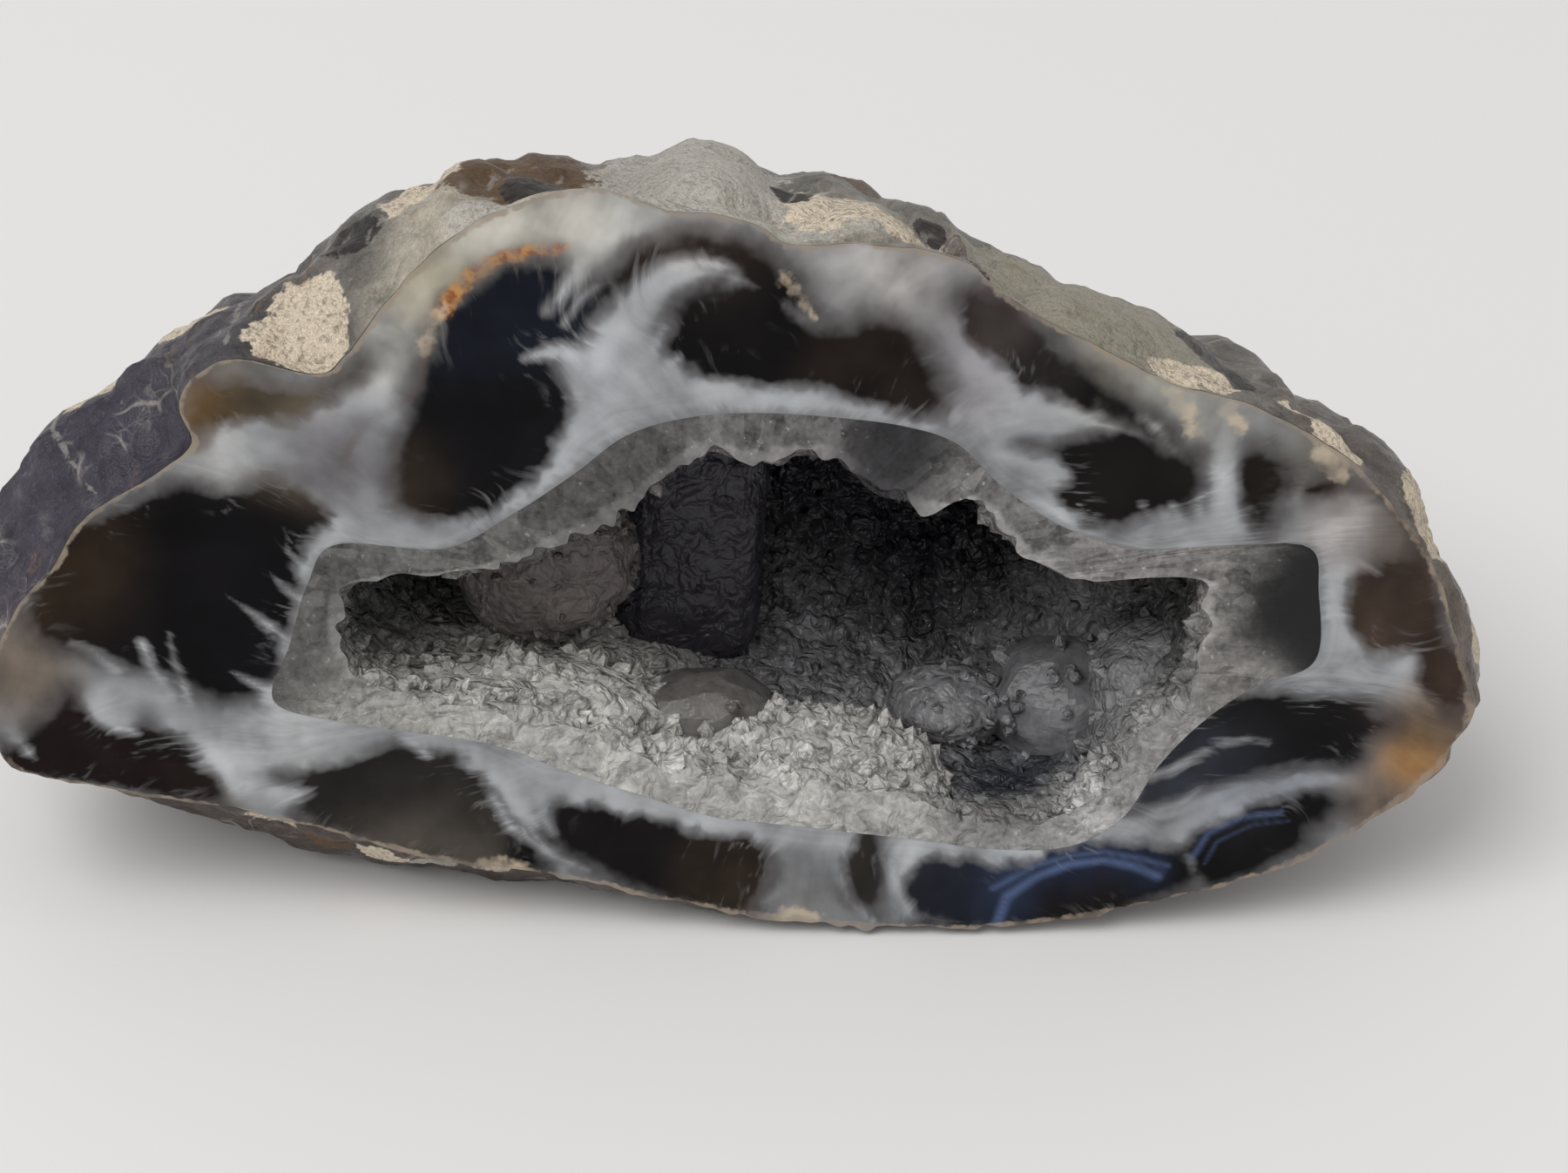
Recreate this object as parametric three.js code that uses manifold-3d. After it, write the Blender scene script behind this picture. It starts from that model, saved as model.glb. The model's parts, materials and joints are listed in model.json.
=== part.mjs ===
// Half of an agate geode, sawn through and polished, with a hollow lined by quartz crystals.
// The stone is shaped lying on its back: x runs across the cut face, y up the face, and the face is the
// plane z = 0 with the stone below it. It is then stood up, leaning back, on a small worn flat. Units are
// millimetres.
import * as THREE from "three";
import { mergeVertices } from "three/addons/utils/BufferGeometryUtils.js";
import Module from "manifold-3d";

const wasm = await Module();
wasm.setup();

// Driving dimensions
const FACE_LEAN = 12; // degrees that the cut face leans back from upright
const STONE_DEPTH = 22; // from the cut face to the back of the stone
const RIM_DEPTH = 4; // where the rind's rim ends and the rounded back begins
const RIM_CURVE = 1.3; // above 1, the rim leaves the cut face at a steeper angle
const BASE_DROP = 14.6; // from the middle of the cut face down to the flat that the stone rests on
const HOLLOW_DEPTH = 16.6; // from the cut face to the back of the agate wall's hollow
const DRUSE_DEPTH = 13.8; // from the cut face to the deepest crystals
const SEAM = 0.3; // gap between the agate and the quartz that lines it
const THINNEST_QUARTZ = 1.1; // least thickness of the lining
const OVAL_HALF = { across: 32, up: 16, back: 15 }; // half sizes of a smooth oval that fits the stone
const ROUNDNESS = 0.86; // below 1, the back is fuller than an ellipse
const HOLLOW_ROUNDNESS = 0.6; // the same for the hollow, whose sides are steeper

// Mesh density
const STONE_COLUMNS = 80;
const FRONT_ROWS = 5;
const BACK_ROWS = 20;
const WALL_COLUMNS = 48;
const WALL_ROWS = 6;
const DRUSE_COLUMNS = 56;
const DRUSE_ROWS = 9;
const SQUEEZE = 0.45; // columns crowd towards the long ends of the oval by this ratio
const OUTLINE_STEPS = 12; // straight steps between two points of an outline

// Outlines on the cut face, across and up, going round from the left end over the top
const FACE_EDGE = [
  [-32.3, -2.8], [-30.8, 0.7], [-29.0, 2.8], [-27.6, 4.9], [-24.4, 7.0], [-22.8, 8.3], [-23.3, 9.9],
  [-22.6, 11.3], [-20.8, 12.1], [-17.6, 11.4], [-16.2, 12.3], [-14.6, 14.4], [-12.4, 16.7], [-10.2, 18.2],
  [-7.6, 19.2], [-5.4, 19.4], [-3.2, 18.6], [0.2, 18.1], [2.2, 17.0], [5.0, 17.1], [9.0, 16.4],
  [11.0, 14.8], [14.4, 12.8], [18.0, 11.0], [21.6, 9.9], [25.9, 7.2], [29.3, 2.7], [31.1, -2.8],
  [30.9, -5.4], [27.9, -8.7], [24.6, -10.9], [20.4, -12.6], [15.2, -13.8], [9.5, -14.5], [3.4, -14.2],
  [-2.0, -13.4], [-7.6, -12.0], [-13.4, -11.0], [-20.8, -8.9], [-27.5, -7.6], [-31.6, -6.4],
];
const RIND_EDGE = [
  [-33.4, -2.2], [-32.8, 1.1], [-30.8, 3.8], [-29.2, 6.4], [-26.7, 8.0], [-22.2, 10.8], [-17.8, 13.8],
  [-13.4, 16.4], [-11.1, 17.7], [-7.1, 16.8], [-4.8, 16.5], [-2.7, 17.3], [-0.4, 17.3], [1.9, 16.2],
  [5.8, 15.8], [8.4, 14.1], [10.3, 12.5], [13.6, 12.1], [17.9, 10.6], [21.0, 8.1], [24.2, 7.8],
  [27.8, 4.9], [29.8, 1.1], [31.6, -3.2], [30.4, -6.2], [27.0, -9.4], [22.0, -12.0], [16.0, -13.4],
  [8.0, -13.9], [0.0, -13.9], [-8.0, -13.8], [-15.0, -13.2], [-21.0, -11.8], [-27.0, -9.8], [-31.4, -6.8],
];
const QUARTZ_EDGE = [
  [-20.0, -3.5], [-19.2, -0.8], [-18.3, 2.0], [-17.0, 3.8], [-12.5, 3.6], [-9.5, 5.2], [-6.9, 7.0],
  [-4.7, 8.7], [-2.1, 9.5], [0.8, 9.7], [4.0, 9.5], [6.9, 9.1], [9.1, 8.3], [11.0, 6.4], [13.6, 4.6],
  [16.5, 3.6], [20.2, 3.7], [23.9, 3.7], [24.5, 1.6], [24.5, -1.6], [22.0, -2.8], [19.8, -4.5],
  [18.0, -6.6], [16.6, -9.0], [14.4, -10.4], [11.3, -10.6], [7.5, -10.1], [1.9, -9.4], [-1.2, -9.0],
  [-4.2, -8.0], [-7.6, -6.8], [-10.9, -5.5], [-16.9, -4.5],
];
const MOUTH_EDGE = [
  [-17.1, 0.6], [-15.8, 2.1], [-11.8, 2.5], [-9.2, 3.2], [-5.8, 4.8], [-3.6, 6.4], [-1.8, 7.8], [0.6, 7.6],
  [3.7, 7.8], [5.7, 6.4], [8.1, 5.4], [9.7, 5.7], [11.6, 3.8], [14.0, 2.2], [16.6, 2.2], [19.6, 2.0],
  [19.6, 0.0], [19.2, -2.8], [18.0, -5.3], [16.6, -7.6], [14.4, -9.0], [11.3, -9.3], [8.7, -8.7], [5.6, -7.8],
  [1.9, -7.4], [-1.2, -7.2], [-4.2, -6.2], [-7.5, -4.9], [-10.9, -3.9], [-14.2, -3.4], [-16.6, -2.0],
];

// Rounded lobes of the rind: across, up, depth behind the face, reach and height
const RIND_LOBES = [
  [-30.6, 3.9, 5.5, 6.0, 0.9],
  [-24.8, 9.0, 6.0, 6.5, 1.1],
  [-18.7, 13.1, 5.5, 5.0, 0.9],
  [-13.5, 15.8, 8.0, 5.0, 0.8],
  [-7.0, 16.7, 6.5, 4.2, 0.8],
  [-1.3, 17.1, 7.5, 4.8, 1.2],
  [4.6, 16.0, 6.0, 4.0, 1.0],
  [8.8, 13.6, 6.5, 3.0, 0.6],
  [14.8, 11.7, 6.5, 5.5, 1.1],
  [20.1, 8.6, 6.5, 4.0, 1.0],
  [27.7, 4.6, 6.5, 4.5, 0.7],
  [30.9, -2.0, 7.0, 5.0, 0.7],
  [-32.4, -3.9, 7.5, 5.0, 0.7],
];
const RIND_PITS = [
  [-19.0, 9.5, 12.0, 3.4, -1.0],
  [6.5, 15.0, 12.5, 3.2, -1.1],
  [25.0, -1.5, 17.5, 3.6, -1.2],
  [-12.0, 4.0, 21.0, 3.8, -1.1],
  [-26.5, -6.0, 15.5, 3.4, -1.0],
];
const BACK_LOBES = 72; // further lobes, spread over the back by a golden-angle spiral
const BACK_LOBE_REACH = [3.4, 6.6];
const BACK_LOBE_HEIGHT = [0.6, 2.3];
const LOBE_FADE = 3.0; // lobes fade out over this depth towards the cut face
const LOBE_POWER = 0.6; // below 1, lobes are steeper at their feet
const PIT_POWER = 1.4; // above 1, pits have soft rims

// Lumps of crystal-covered quartz inside the hollow: middle (across, up, depth), half sizes, turn in
// degrees, and squareness, which is 1 for an oval ball and nearer 0 for a block
const DRUSE_LUMPS = [
  { middle: [13.6, -7.4, 8.6], half: [4.2, 5.0, 4.4], turn: 0, square: 0.9 },
  { middle: [8.6, -6.6, 8.2], half: [2.5, 2.6, 2.6], turn: 0, square: 1 },
  { middle: [-1.5, -6.2, 5.4], half: [2.9, 2.4, 2.4], turn: 0, square: 0.9 },
  { middle: [-2.3, 0.0, 11.2], half: [3.2, 6.4, 2.0], turn: -4, square: 0.5 },
  { middle: [-8.1, 0.4, 7.3], half: [3.9, 3.6, 2.5], turn: 24, square: 0.8 },
  { middle: [4.4, -7.4, 3.1], half: [4.4, 2.5, 2.1], turn: -8, square: 1 },
  { middle: [-7.4, -6.2, 4.4], half: [5.2, 2.4, 3.0], turn: -14, square: 1 },
  { middle: [18.6, -5.6, 6.4], half: [3.2, 3.2, 3.4], turn: 0, square: 1 },
];
const LUMP_SIDES = 10;
const LUMP_RINGS = 6;
const LUMP_ROUGHNESS = 0.09; // share of its size by which a lump's corners stray

// Crystals
const HEART = { across: 0.55, deep: 0.45 }; // crystals point at this share of their own place
const UNDERCUT = 0.06; // share by which the hollow swells behind its mouth
const FACET_HEIGHT = [0.25, 1.0]; // small points that stud the whole lining
const CORNER_STRAY = 0.28; // share of a cell by which its corners stray
const RAGGEDNESS = 0.05; // share of its radius by which the lining strays
const LIP = 2; // how far cutting shapes stand out of the cut face
const POINT_COUNT = 34; // larger crystals, fused to the lining
const POINT_CROWDING = 1.4; // above 1, there are more of them near the mouth
const POINT_LEAST_DEPTH = 1.2; // from the cut face to the nearest crystal
const POINT_RADIUS = [0.55, 1.05];
const POINT_PRISM = 0.5; // length of the prism sides, in radii
const POINT_TIP = 1.15; // height of the six-sided tip, in radii
const POINT_SINK = 0.9; // how deep the crystal's foot is set, in radii
const POINT_LEAN = 0.7; // how far the crystals lean from straight inward

// A repeatable number from 0 to 1 for a whole number and a stream
function chance(index, stream) {
  const x = Math.sin(index * 127.1 + stream * 311.7) * 43758.5453;
  return x - Math.floor(x);
}

const within = ([low, high], share) => low + (high - low) * share;

// The distance from the middle of the face to an outline, as a function of the angle
function outlineRadius(points) {
  const corners = points.map(([x, y]) => new THREE.Vector3(x, y, 0));
  const curve = new THREE.CatmullRomCurve3(corners, true, "catmullrom", 0.5);
  const polar = curve.getPoints(points.length * OUTLINE_STEPS)
    .map((p) => [Math.atan2(p.y, p.x), Math.hypot(p.x, p.y)])
    .sort((a, b) => a[0] - b[0]);
  const turn = 2 * Math.PI;
  const last = polar[polar.length - 1];
  const table = [[last[0] - turn, last[1]], ...polar, [polar[0][0] + turn, polar[0][1]]];
  return (angle) => {
    const wrapped = Math.atan2(Math.sin(angle), Math.cos(angle));
    const i = table.findIndex(([a]) => a >= wrapped);
    const [a0, r0] = table[i - 1];
    const [a1, r1] = table[i];
    return r0 + ((r1 - r0) * (wrapped - a0)) / Math.max(a1 - a0, 1e-9);
  };
}

const faceRadius = outlineRadius(FACE_EDGE);
const rindRadius = outlineRadius(RIND_EDGE);
const quartzRadius = outlineRadius(QUARTZ_EDGE);
const mouthRadius = outlineRadius(MOUTH_EDGE);

// Angles of a ring's columns, the same for every ring of a solid
const ringAngles = (count) =>
  Array.from({ length: count }, (_, k) => {
    const phase = (2 * Math.PI * k) / count;
    return Math.atan2(SQUEEZE * Math.sin(phase), Math.cos(phase));
  });

// A ring with only every second or fourth point left, where it runs close to a pole
const thinned = (ring, step) => ring.map((_, k) => ring[k - (k % step)]);
const thinStep = (radiusShare) => (radiusShare > 0.72 ? 1 : radiusShare > 0.4 ? 2 : 4);

const polarPoint = (angle, radius, depth) =>
  new THREE.Vector3(radius * Math.cos(angle), radius * Math.sin(angle), -depth);

// The way out of the stone at a point of its rind: the normal of the oval
function outward(point) {
  const behind = Math.max(0, -point.z - RIM_DEPTH);
  const { across, up, back } = OVAL_HALF;
  return new THREE.Vector3(point.x / across ** 2, point.y / up ** 2, -behind / back ** 2).normalize();
}

// A smooth point of the rind. along runs from 0 at the cut face over 1 at the end of the rim to 2 at the
// back.
function rindPoint(angle, along) {
  const front = faceRadius(angle);
  const wide = rindRadius(angle);
  if (along <= 1)
    return polarPoint(angle, front + (wide - front) * along ** RIM_CURVE, RIM_DEPTH * along);
  const turn = ((along - 1) * Math.PI) / 2;
  const depth = RIM_DEPTH + (STONE_DEPTH - RIM_DEPTH) * Math.sin(turn);
  return polarPoint(angle, wide * Math.max(Math.cos(turn), 0) ** ROUNDNESS, depth);
}

const GOLDEN_TURN = Math.PI * (3 - Math.sqrt(5));
const backLobes = Array.from({ length: BACK_LOBES }, (_, i) => {
  const middle = rindPoint(i * GOLDEN_TURN, 1.02 + 0.94 * Math.sqrt((i + 0.5) / BACK_LOBES));
  const reach = within(BACK_LOBE_REACH, chance(i, 1));
  return [middle.x, middle.y, -middle.z, reach, within(BACK_LOBE_HEIGHT, chance(i, 2))];
});

// The height of a round cap at a point: across, up, depth, reach and height as above
function capHeight(point, [x, y, depth, reach, height], power) {
  const share = point.distanceTo(new THREE.Vector3(x, y, -depth)) / reach;
  return share < 1 ? height * (1 - share * share) ** power : 0;
}

// How far the rind is lifted at a point: the highest of the lobes that cover it, less the deepest pit
function rindLift(point) {
  const lobe = Math.max(...[...RIND_LOBES, ...backLobes].map((cap) => capHeight(point, cap, LOBE_POWER)));
  const pit = Math.min(...RIND_PITS.map((cap) => capHeight(point, cap, PIT_POWER)));
  return (lobe + pit) * THREE.MathUtils.smoothstep(-point.z, 0, LOBE_FADE);
}

const average = (points) =>
  points.reduce((sum, p) => sum.add(p), new THREE.Vector3()).divideScalar(points.length);

// A closed solid from rings of points, whose first and last rings are closed by fans. Where neighbours in a
// ring are one point, the cells narrow to triangles. peakOf may give a cell a raised middle point, which
// makes the cell a crystal point with three or four faces.
function solidFromRings(rings, peakOf = () => null) {
  const numbers = new Map();
  const positions = [];
  const faces = [];
  const number = (p) => {
    if (!numbers.has(p)) numbers.set(p, positions.push(p.x, p.y, p.z) / 3 - 1);
    return numbers.get(p);
  };
  const fan = (tip, rim) =>
    rim.forEach((p, c) => {
      const q = rim[(c + 1) % rim.length];
      if (p !== tip && q !== tip) faces.push(number(tip), number(p), number(q));
    });
  const distinct = (points) => points.filter((p, c) => p !== points[(c + 1) % points.length]);
  const count = rings[0].length;
  for (let j = 0; j + 1 < rings.length; j++)
    for (let k = 0; k < count; k++) {
      const next = (k + 1) % count;
      const cell = distinct([rings[j][k], rings[j][next], rings[j + 1][next], rings[j + 1][k]]);
      if (cell.length > 2) fan(peakOf(cell, j, k) ?? cell[0], cell);
    }
  const first = distinct(rings[0]).reverse();
  const last = distinct(rings[rings.length - 1]);
  fan(average(first), first);
  fan(average(last), last);
  const geometry = new THREE.BufferGeometry()
    .setAttribute("position", new THREE.Float32BufferAttribute(positions, 3))
    .setIndex(faces);
  return solidFromGeometry(geometry);
}

// A manifold solid from a three.js geometry, turned right side out
function solidFromGeometry(source) {
  const geometry = source.clone().deleteAttribute("normal").deleteAttribute("uv");
  const merged = mergeVertices(geometry, 1e-4);
  const vertProperties = new Float32Array(merged.attributes.position.array);
  const build = (triVerts) => new wasm.Manifold(new wasm.Mesh({ numProp: 3, vertProperties, triVerts }));
  const triVerts = new Uint32Array(merged.index.array);
  const solid = build(triVerts);
  return solid.volume() > 0 ? solid : build(triVerts.toReversed());
}

// A three.js geometry from a manifold solid, moved by a matrix
function geometryFromSolid(solid, matrix) {
  const mesh = solid.getMesh();
  return new THREE.BufferGeometry()
    .setAttribute("position", new THREE.Float32BufferAttribute(mesh.vertProperties, 3))
    .setIndex(new THREE.BufferAttribute(mesh.triVerts, 1))
    .applyMatrix4(matrix);
}

// The whole stone before it is hollowed: smooth rings lifted by the lobes, from the flat cut face to the back
function makeStone() {
  const alongs = [
    ...Array.from({ length: FRONT_ROWS }, (_, j) => j / FRONT_ROWS),
    ...Array.from({ length: BACK_ROWS }, (_, j) => 1 + (j / BACK_ROWS) * 0.985),
  ];
  const angles = ringAngles(STONE_COLUMNS);
  const rings = alongs.map((along) => {
    const ring = angles.map((angle) => {
      const point = rindPoint(angle, along);
      return point.addScaledVector(outward(point), rindLift(point));
    });
    return thinned(ring, thinStep(along > 1 ? Math.cos(((along - 1) * Math.PI) / 2) : 1));
  });
  return solidFromRings(rings);
}

// The half width of the hollow at an angle and a depth, drawn in by a seam
const hollowRadius = (angle, depth, drawnIn) =>
  (quartzRadius(angle) - drawnIn) * (1 - (depth / (HOLLOW_DEPTH - drawnIn)) ** 2) ** (HOLLOW_ROUNDNESS / 2);

// The hollow in the agate, or the outside of the quartz lining when it is drawn in by a seam. A cutting shape
// stands out of the cut face.
function makeHollow(drawnIn, cutting) {
  const angles = ringAngles(WALL_COLUMNS);
  const rings = Array.from({ length: WALL_ROWS }, (_, j) => {
    const turn = (j / WALL_ROWS) * 0.97 * (Math.PI / 2);
    const depth = (HOLLOW_DEPTH - drawnIn) * Math.sin(turn);
    const ring = angles.map((angle) => polarPoint(angle, hollowRadius(angle, depth, drawnIn), depth));
    return thinned(ring, thinStep(Math.cos(turn)));
  });
  const lip = rings[0].map((p) => p.clone().setZ(LIP));
  return solidFromRings(cutting ? [lip, ...rings] : rings);
}

// From a point of the lining, the way that a crystal grows: towards the middle of the hollow
const inward = (point) =>
  new THREE.Vector3(point.x * HEART.across, 0, point.z * HEART.deep).sub(point).normalize();

// The rings of the lining's inner side, a little ragged, each as wide as the mouth and the quartz allow
function makeDruseRings() {
  const angles = ringAngles(DRUSE_COLUMNS);
  return Array.from({ length: DRUSE_ROWS + 1 }, (_, j) => {
    const ring = angles.map((angle, k) => {
      const place = k + j * DRUSE_COLUMNS;
      const stray = j === 0 ? 0 : (chance(place, 3) - 0.5) * 2 * CORNER_STRAY;
      const turn = ((j + stray) / (DRUSE_ROWS + 0.6)) * (Math.PI / 2);
      const depth = DRUSE_DEPTH * Math.sin(turn);
      const swell = 1 + UNDERCUT * Math.sin(2 * turn);
      const ragged = 1 + RAGGEDNESS * (chance(place, 4) - 0.5);
      const wide = mouthRadius(angle) * Math.cos(turn) ** HOLLOW_ROUNDNESS * swell * ragged;
      return polarPoint(angle, Math.min(wide, hollowRadius(angle, depth, SEAM) - THINNEST_QUARTZ), depth);
    });
    return thinned(ring, thinStep(Math.cos(((j / (DRUSE_ROWS + 0.6)) * Math.PI) / 2)));
  });
}

// The open space inside the lining, studded all over by small crystal points
function makeOpenSpace(rings) {
  const lip = rings[0].map((p) => p.clone().setZ(LIP));
  const peakOf = (cell, j, k) => {
    if (j === 0) return null;
    const middle = average(cell);
    return middle.addScaledVector(inward(middle), within(FACET_HEIGHT, chance(k + j * DRUSE_COLUMNS, 5)));
  };
  return solidFromRings([lip, ...rings], peakOf);
}

// A rough lump with flat facets
function makeLump({ middle: [x, y, depth], half, turn, square }, number) {
  const sphere = new THREE.SphereGeometry(1, LUMP_SIDES, LUMP_RINGS);
  const merged = mergeVertices(sphere.deleteAttribute("normal").deleteAttribute("uv"), 1e-4);
  const place = merged.attributes.position;
  for (let i = 0; i < place.count; i++) {
    const swell = 1 + LUMP_ROUGHNESS * (2 * chance(i + number * 101, 6) - 1);
    const ball = [place.getX(i), place.getY(i), place.getZ(i)];
    place.setXYZ(i, ...ball.map((c) => swell * Math.sign(c) * Math.abs(c) ** square));
  }
  merged.scale(...half).rotateZ(THREE.MathUtils.degToRad(turn)).translate(x, y, -depth);
  return solidFromGeometry(merged);
}

// A quartz crystal: a six-sided prism with a six-sided tip, standing on the origin along +z
function makeCrystal(radius) {
  const foot = -radius * POINT_SINK;
  const shoulder = radius * POINT_PRISM;
  const tip = shoulder + radius * POINT_TIP;
  const corners = [[0, foot], [radius, foot], [radius, shoulder], [0, tip]];
  const profile = corners.map(([r, z]) => new THREE.Vector2(r, z));
  return new THREE.LatheGeometry(profile, 6).rotateX(Math.PI / 2);
}

// Larger crystals at places spread over the lining, each turned to face the middle of the hollow
function makeCrystals(rings) {
  const up = new THREE.Vector3(0, 0, 1);
  return Array.from({ length: POINT_COUNT }, (_, i) => {
    const row = Math.floor(within([0.6, DRUSE_ROWS - 0.5], chance(i, 7) ** POINT_CROWDING));
    const column = Math.floor(DRUSE_COLUMNS * chance(i, 8));
    const spot = rings[row][column];
    const lean = new THREE.Vector3(chance(i, 9) - 0.5, chance(i, 10) - 0.5, chance(i, 11) - 0.5);
    const aim = inward(spot).addScaledVector(lean, POINT_LEAN);
    const crystal = makeCrystal(within(POINT_RADIUS, chance(i, 12)));
    crystal.applyQuaternion(new THREE.Quaternion().setFromUnitVectors(up, aim.normalize()));
    crystal.translate(spot.x, spot.y, Math.min(spot.z, -POINT_LEAST_DEPTH));
    return solidFromGeometry(crystal);
  });
}

// Stands the stone up from lying on its back
const stand = new THREE.Matrix4().makeRotationX(THREE.MathUtils.degToRad(90 - FACE_LEAN));

// Everything below the worn flat, in the frame in which the stone lies on its back
function makeGround() {
  const slab = new THREE.BoxGeometry(200, 200, 40).translate(0, 0, -20 - BASE_DROP);
  return solidFromGeometry(slab.applyMatrix4(stand.clone().invert()));
}

const stone = makeStone();
const agateSolid = stone.subtract(makeHollow(0, true)).subtract(makeGround());

const lining = makeHollow(SEAM, false);
const druseRings = makeDruseRings();
const studs = [...DRUSE_LUMPS.map(makeLump), ...makeCrystals(druseRings)];
const hollowed = lining.subtract(makeOpenSpace(druseRings));
const quartzSolid = studs.reduce((sum, stud) => sum.add(stud.intersect(lining)), hollowed);

// Puts the middle of the bounding box's underside at the origin
const standing = new THREE.Box3().setFromObject(new THREE.Mesh(geometryFromSolid(agateSolid, stand)));
const middle = standing.getCenter(new THREE.Vector3());
const settle = new THREE.Matrix4().makeTranslation(-middle.x, -middle.y, -standing.min.z).multiply(stand);

const agate = new THREE.Mesh(
  geometryFromSolid(agateSolid, settle),
  new THREE.MeshStandardMaterial({ color: 0x4a4443, roughness: 0.3, metalness: 0, flatShading: true }),
);
agate.name = "agate_stone";

const quartz = new THREE.Mesh(
  geometryFromSolid(quartzSolid, settle),
  new THREE.MeshStandardMaterial({ color: 0x8c8a88, roughness: 0.2, metalness: 0, flatShading: true }),
);
quartz.name = "quartz_crust";

const geode = new THREE.Group();
geode.add(agate, quartz);

export default geode;
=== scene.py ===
"""The looks of half an agate geode, sawn and polished, with a hollow lined by quartz crystals.

Both pieces are worked out lying on their back: x runs across the cut face, y up the face, and the face is the
plane z = 0 with the stone below it. That is in millimetres. They are then stood up, leaning back, in metres.
"""

import json

import bpy
import numpy as np
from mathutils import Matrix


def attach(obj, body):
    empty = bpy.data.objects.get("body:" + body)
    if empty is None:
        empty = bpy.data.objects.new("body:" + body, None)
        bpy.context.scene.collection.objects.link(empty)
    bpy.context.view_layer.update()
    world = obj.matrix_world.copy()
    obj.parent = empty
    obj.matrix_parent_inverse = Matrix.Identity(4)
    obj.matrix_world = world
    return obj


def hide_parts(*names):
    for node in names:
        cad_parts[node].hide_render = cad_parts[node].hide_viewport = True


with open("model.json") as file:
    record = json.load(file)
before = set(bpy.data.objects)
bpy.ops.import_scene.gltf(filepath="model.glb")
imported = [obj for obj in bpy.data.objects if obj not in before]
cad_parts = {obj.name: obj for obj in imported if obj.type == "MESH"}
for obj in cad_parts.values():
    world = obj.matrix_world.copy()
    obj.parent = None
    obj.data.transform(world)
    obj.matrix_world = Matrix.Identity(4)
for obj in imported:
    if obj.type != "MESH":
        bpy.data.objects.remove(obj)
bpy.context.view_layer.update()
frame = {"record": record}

bl_info = {
    "name": "Agate geode",
    "version": (1, 0, 0),
    "blender": (4, 5, 0),
    "location": "3D View > Sidebar > Geode",
    "description": "Builds the looks of a sawn and polished half geode around its CAD model",
    "category": "Object",
}

MM = 0.001
GOLDEN_TURN = np.pi * (3 - np.sqrt(5))
SQUEEZE = 0.70  # height over width of the oval whose even steps place the columns of a ring
OUTLINE_STEPS = 12  # straight steps between two points of an outline
WALL_ROWS = 12  # rings up the wall of the agate's hollow
RIM_ROWS = 23  # rings of the rind over the rim
LAST_RING = 0.985  # share of the way to the back at which rings stop, and a fan closes them
CRUST_GAP = 0.006  # millimetres between the crust and the wall of the hollow
CRYSTAL_LIMIT = 16.2  # millimetres behind the face that no crystal passes

# Outlines on the cut face, across and up in millimetres, going round from the left end over the top
FACE_EDGE = [
    (-32.3, -2.8), (-30.8, 0.7), (-29.0, 2.8), (-27.6, 4.9), (-24.4, 7.0), (-22.8, 8.3), (-23.3, 9.9),
    (-22.6, 11.3), (-20.8, 12.1), (-17.6, 11.4), (-16.2, 12.3), (-14.6, 14.4), (-12.4, 16.7), (-10.2, 18.2),
    (-7.6, 19.2), (-5.4, 19.4), (-3.2, 18.6), (0.2, 18.1), (2.2, 17.0), (5.0, 17.1), (9.0, 16.4), (11.0, 14.8),
    (14.4, 12.8), (18.0, 11.0), (21.6, 9.9), (25.9, 7.2), (29.3, 2.7), (31.1, -2.8), (30.9, -5.4), (27.9, -8.7),
    (24.6, -10.9), (20.4, -12.6), (15.2, -13.8), (9.5, -14.5), (3.4, -14.2), (-2.0, -13.4), (-7.6, -12.0),
    (-13.4, -11.0), (-20.8, -8.9), (-27.5, -7.6), (-31.6, -6.4),
]
RIND_EDGE = [
    (-33.4, -2.2), (-32.8, 1.1), (-30.8, 3.8), (-29.2, 6.4), (-26.7, 8.0), (-22.2, 10.8), (-17.8, 13.8),
    (-13.4, 16.4), (-11.1, 17.7), (-7.1, 16.8), (-4.8, 16.5), (-2.7, 17.3), (-0.4, 17.3), (1.9, 16.2),
    (5.8, 15.8), (8.4, 14.1), (10.3, 12.5), (13.6, 12.1), (17.9, 10.6), (21.0, 8.1), (24.2, 7.8), (27.8, 4.9),
    (29.8, 1.1), (31.6, -3.2), (30.4, -6.2), (27.0, -9.4), (22.0, -12.0), (16.0, -13.4), (8.0, -13.9),
    (0.0, -13.9), (-8.0, -13.8), (-15.0, -13.2), (-21.0, -11.8), (-27.0, -9.8), (-31.4, -6.8),
]
QUARTZ_EDGE = [
    (-20.0, -3.5), (-19.2, -0.8), (-18.3, 2.0), (-17.0, 3.8), (-12.5, 3.6), (-9.5, 5.2), (-6.9, 7.0),
    (-4.7, 8.7), (-2.1, 9.5), (0.8, 9.7), (4.0, 9.5), (6.9, 9.1), (9.1, 8.3), (11.0, 6.4), (13.6, 4.6),
    (16.5, 3.6),
    (20.2, 3.7), (23.9, 3.7), (24.5, 1.6), (24.5, -1.6), (22.0, -2.8), (19.8, -4.5), (18.0, -6.6), (16.6, -9.0),
    (14.4, -10.4), (11.3, -10.6), (7.5, -10.1), (1.9, -9.4), (-1.2, -9.0), (-4.2, -8.0), (-7.6, -6.8),
    (-10.9, -5.5), (-16.9, -4.5),
]
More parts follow.
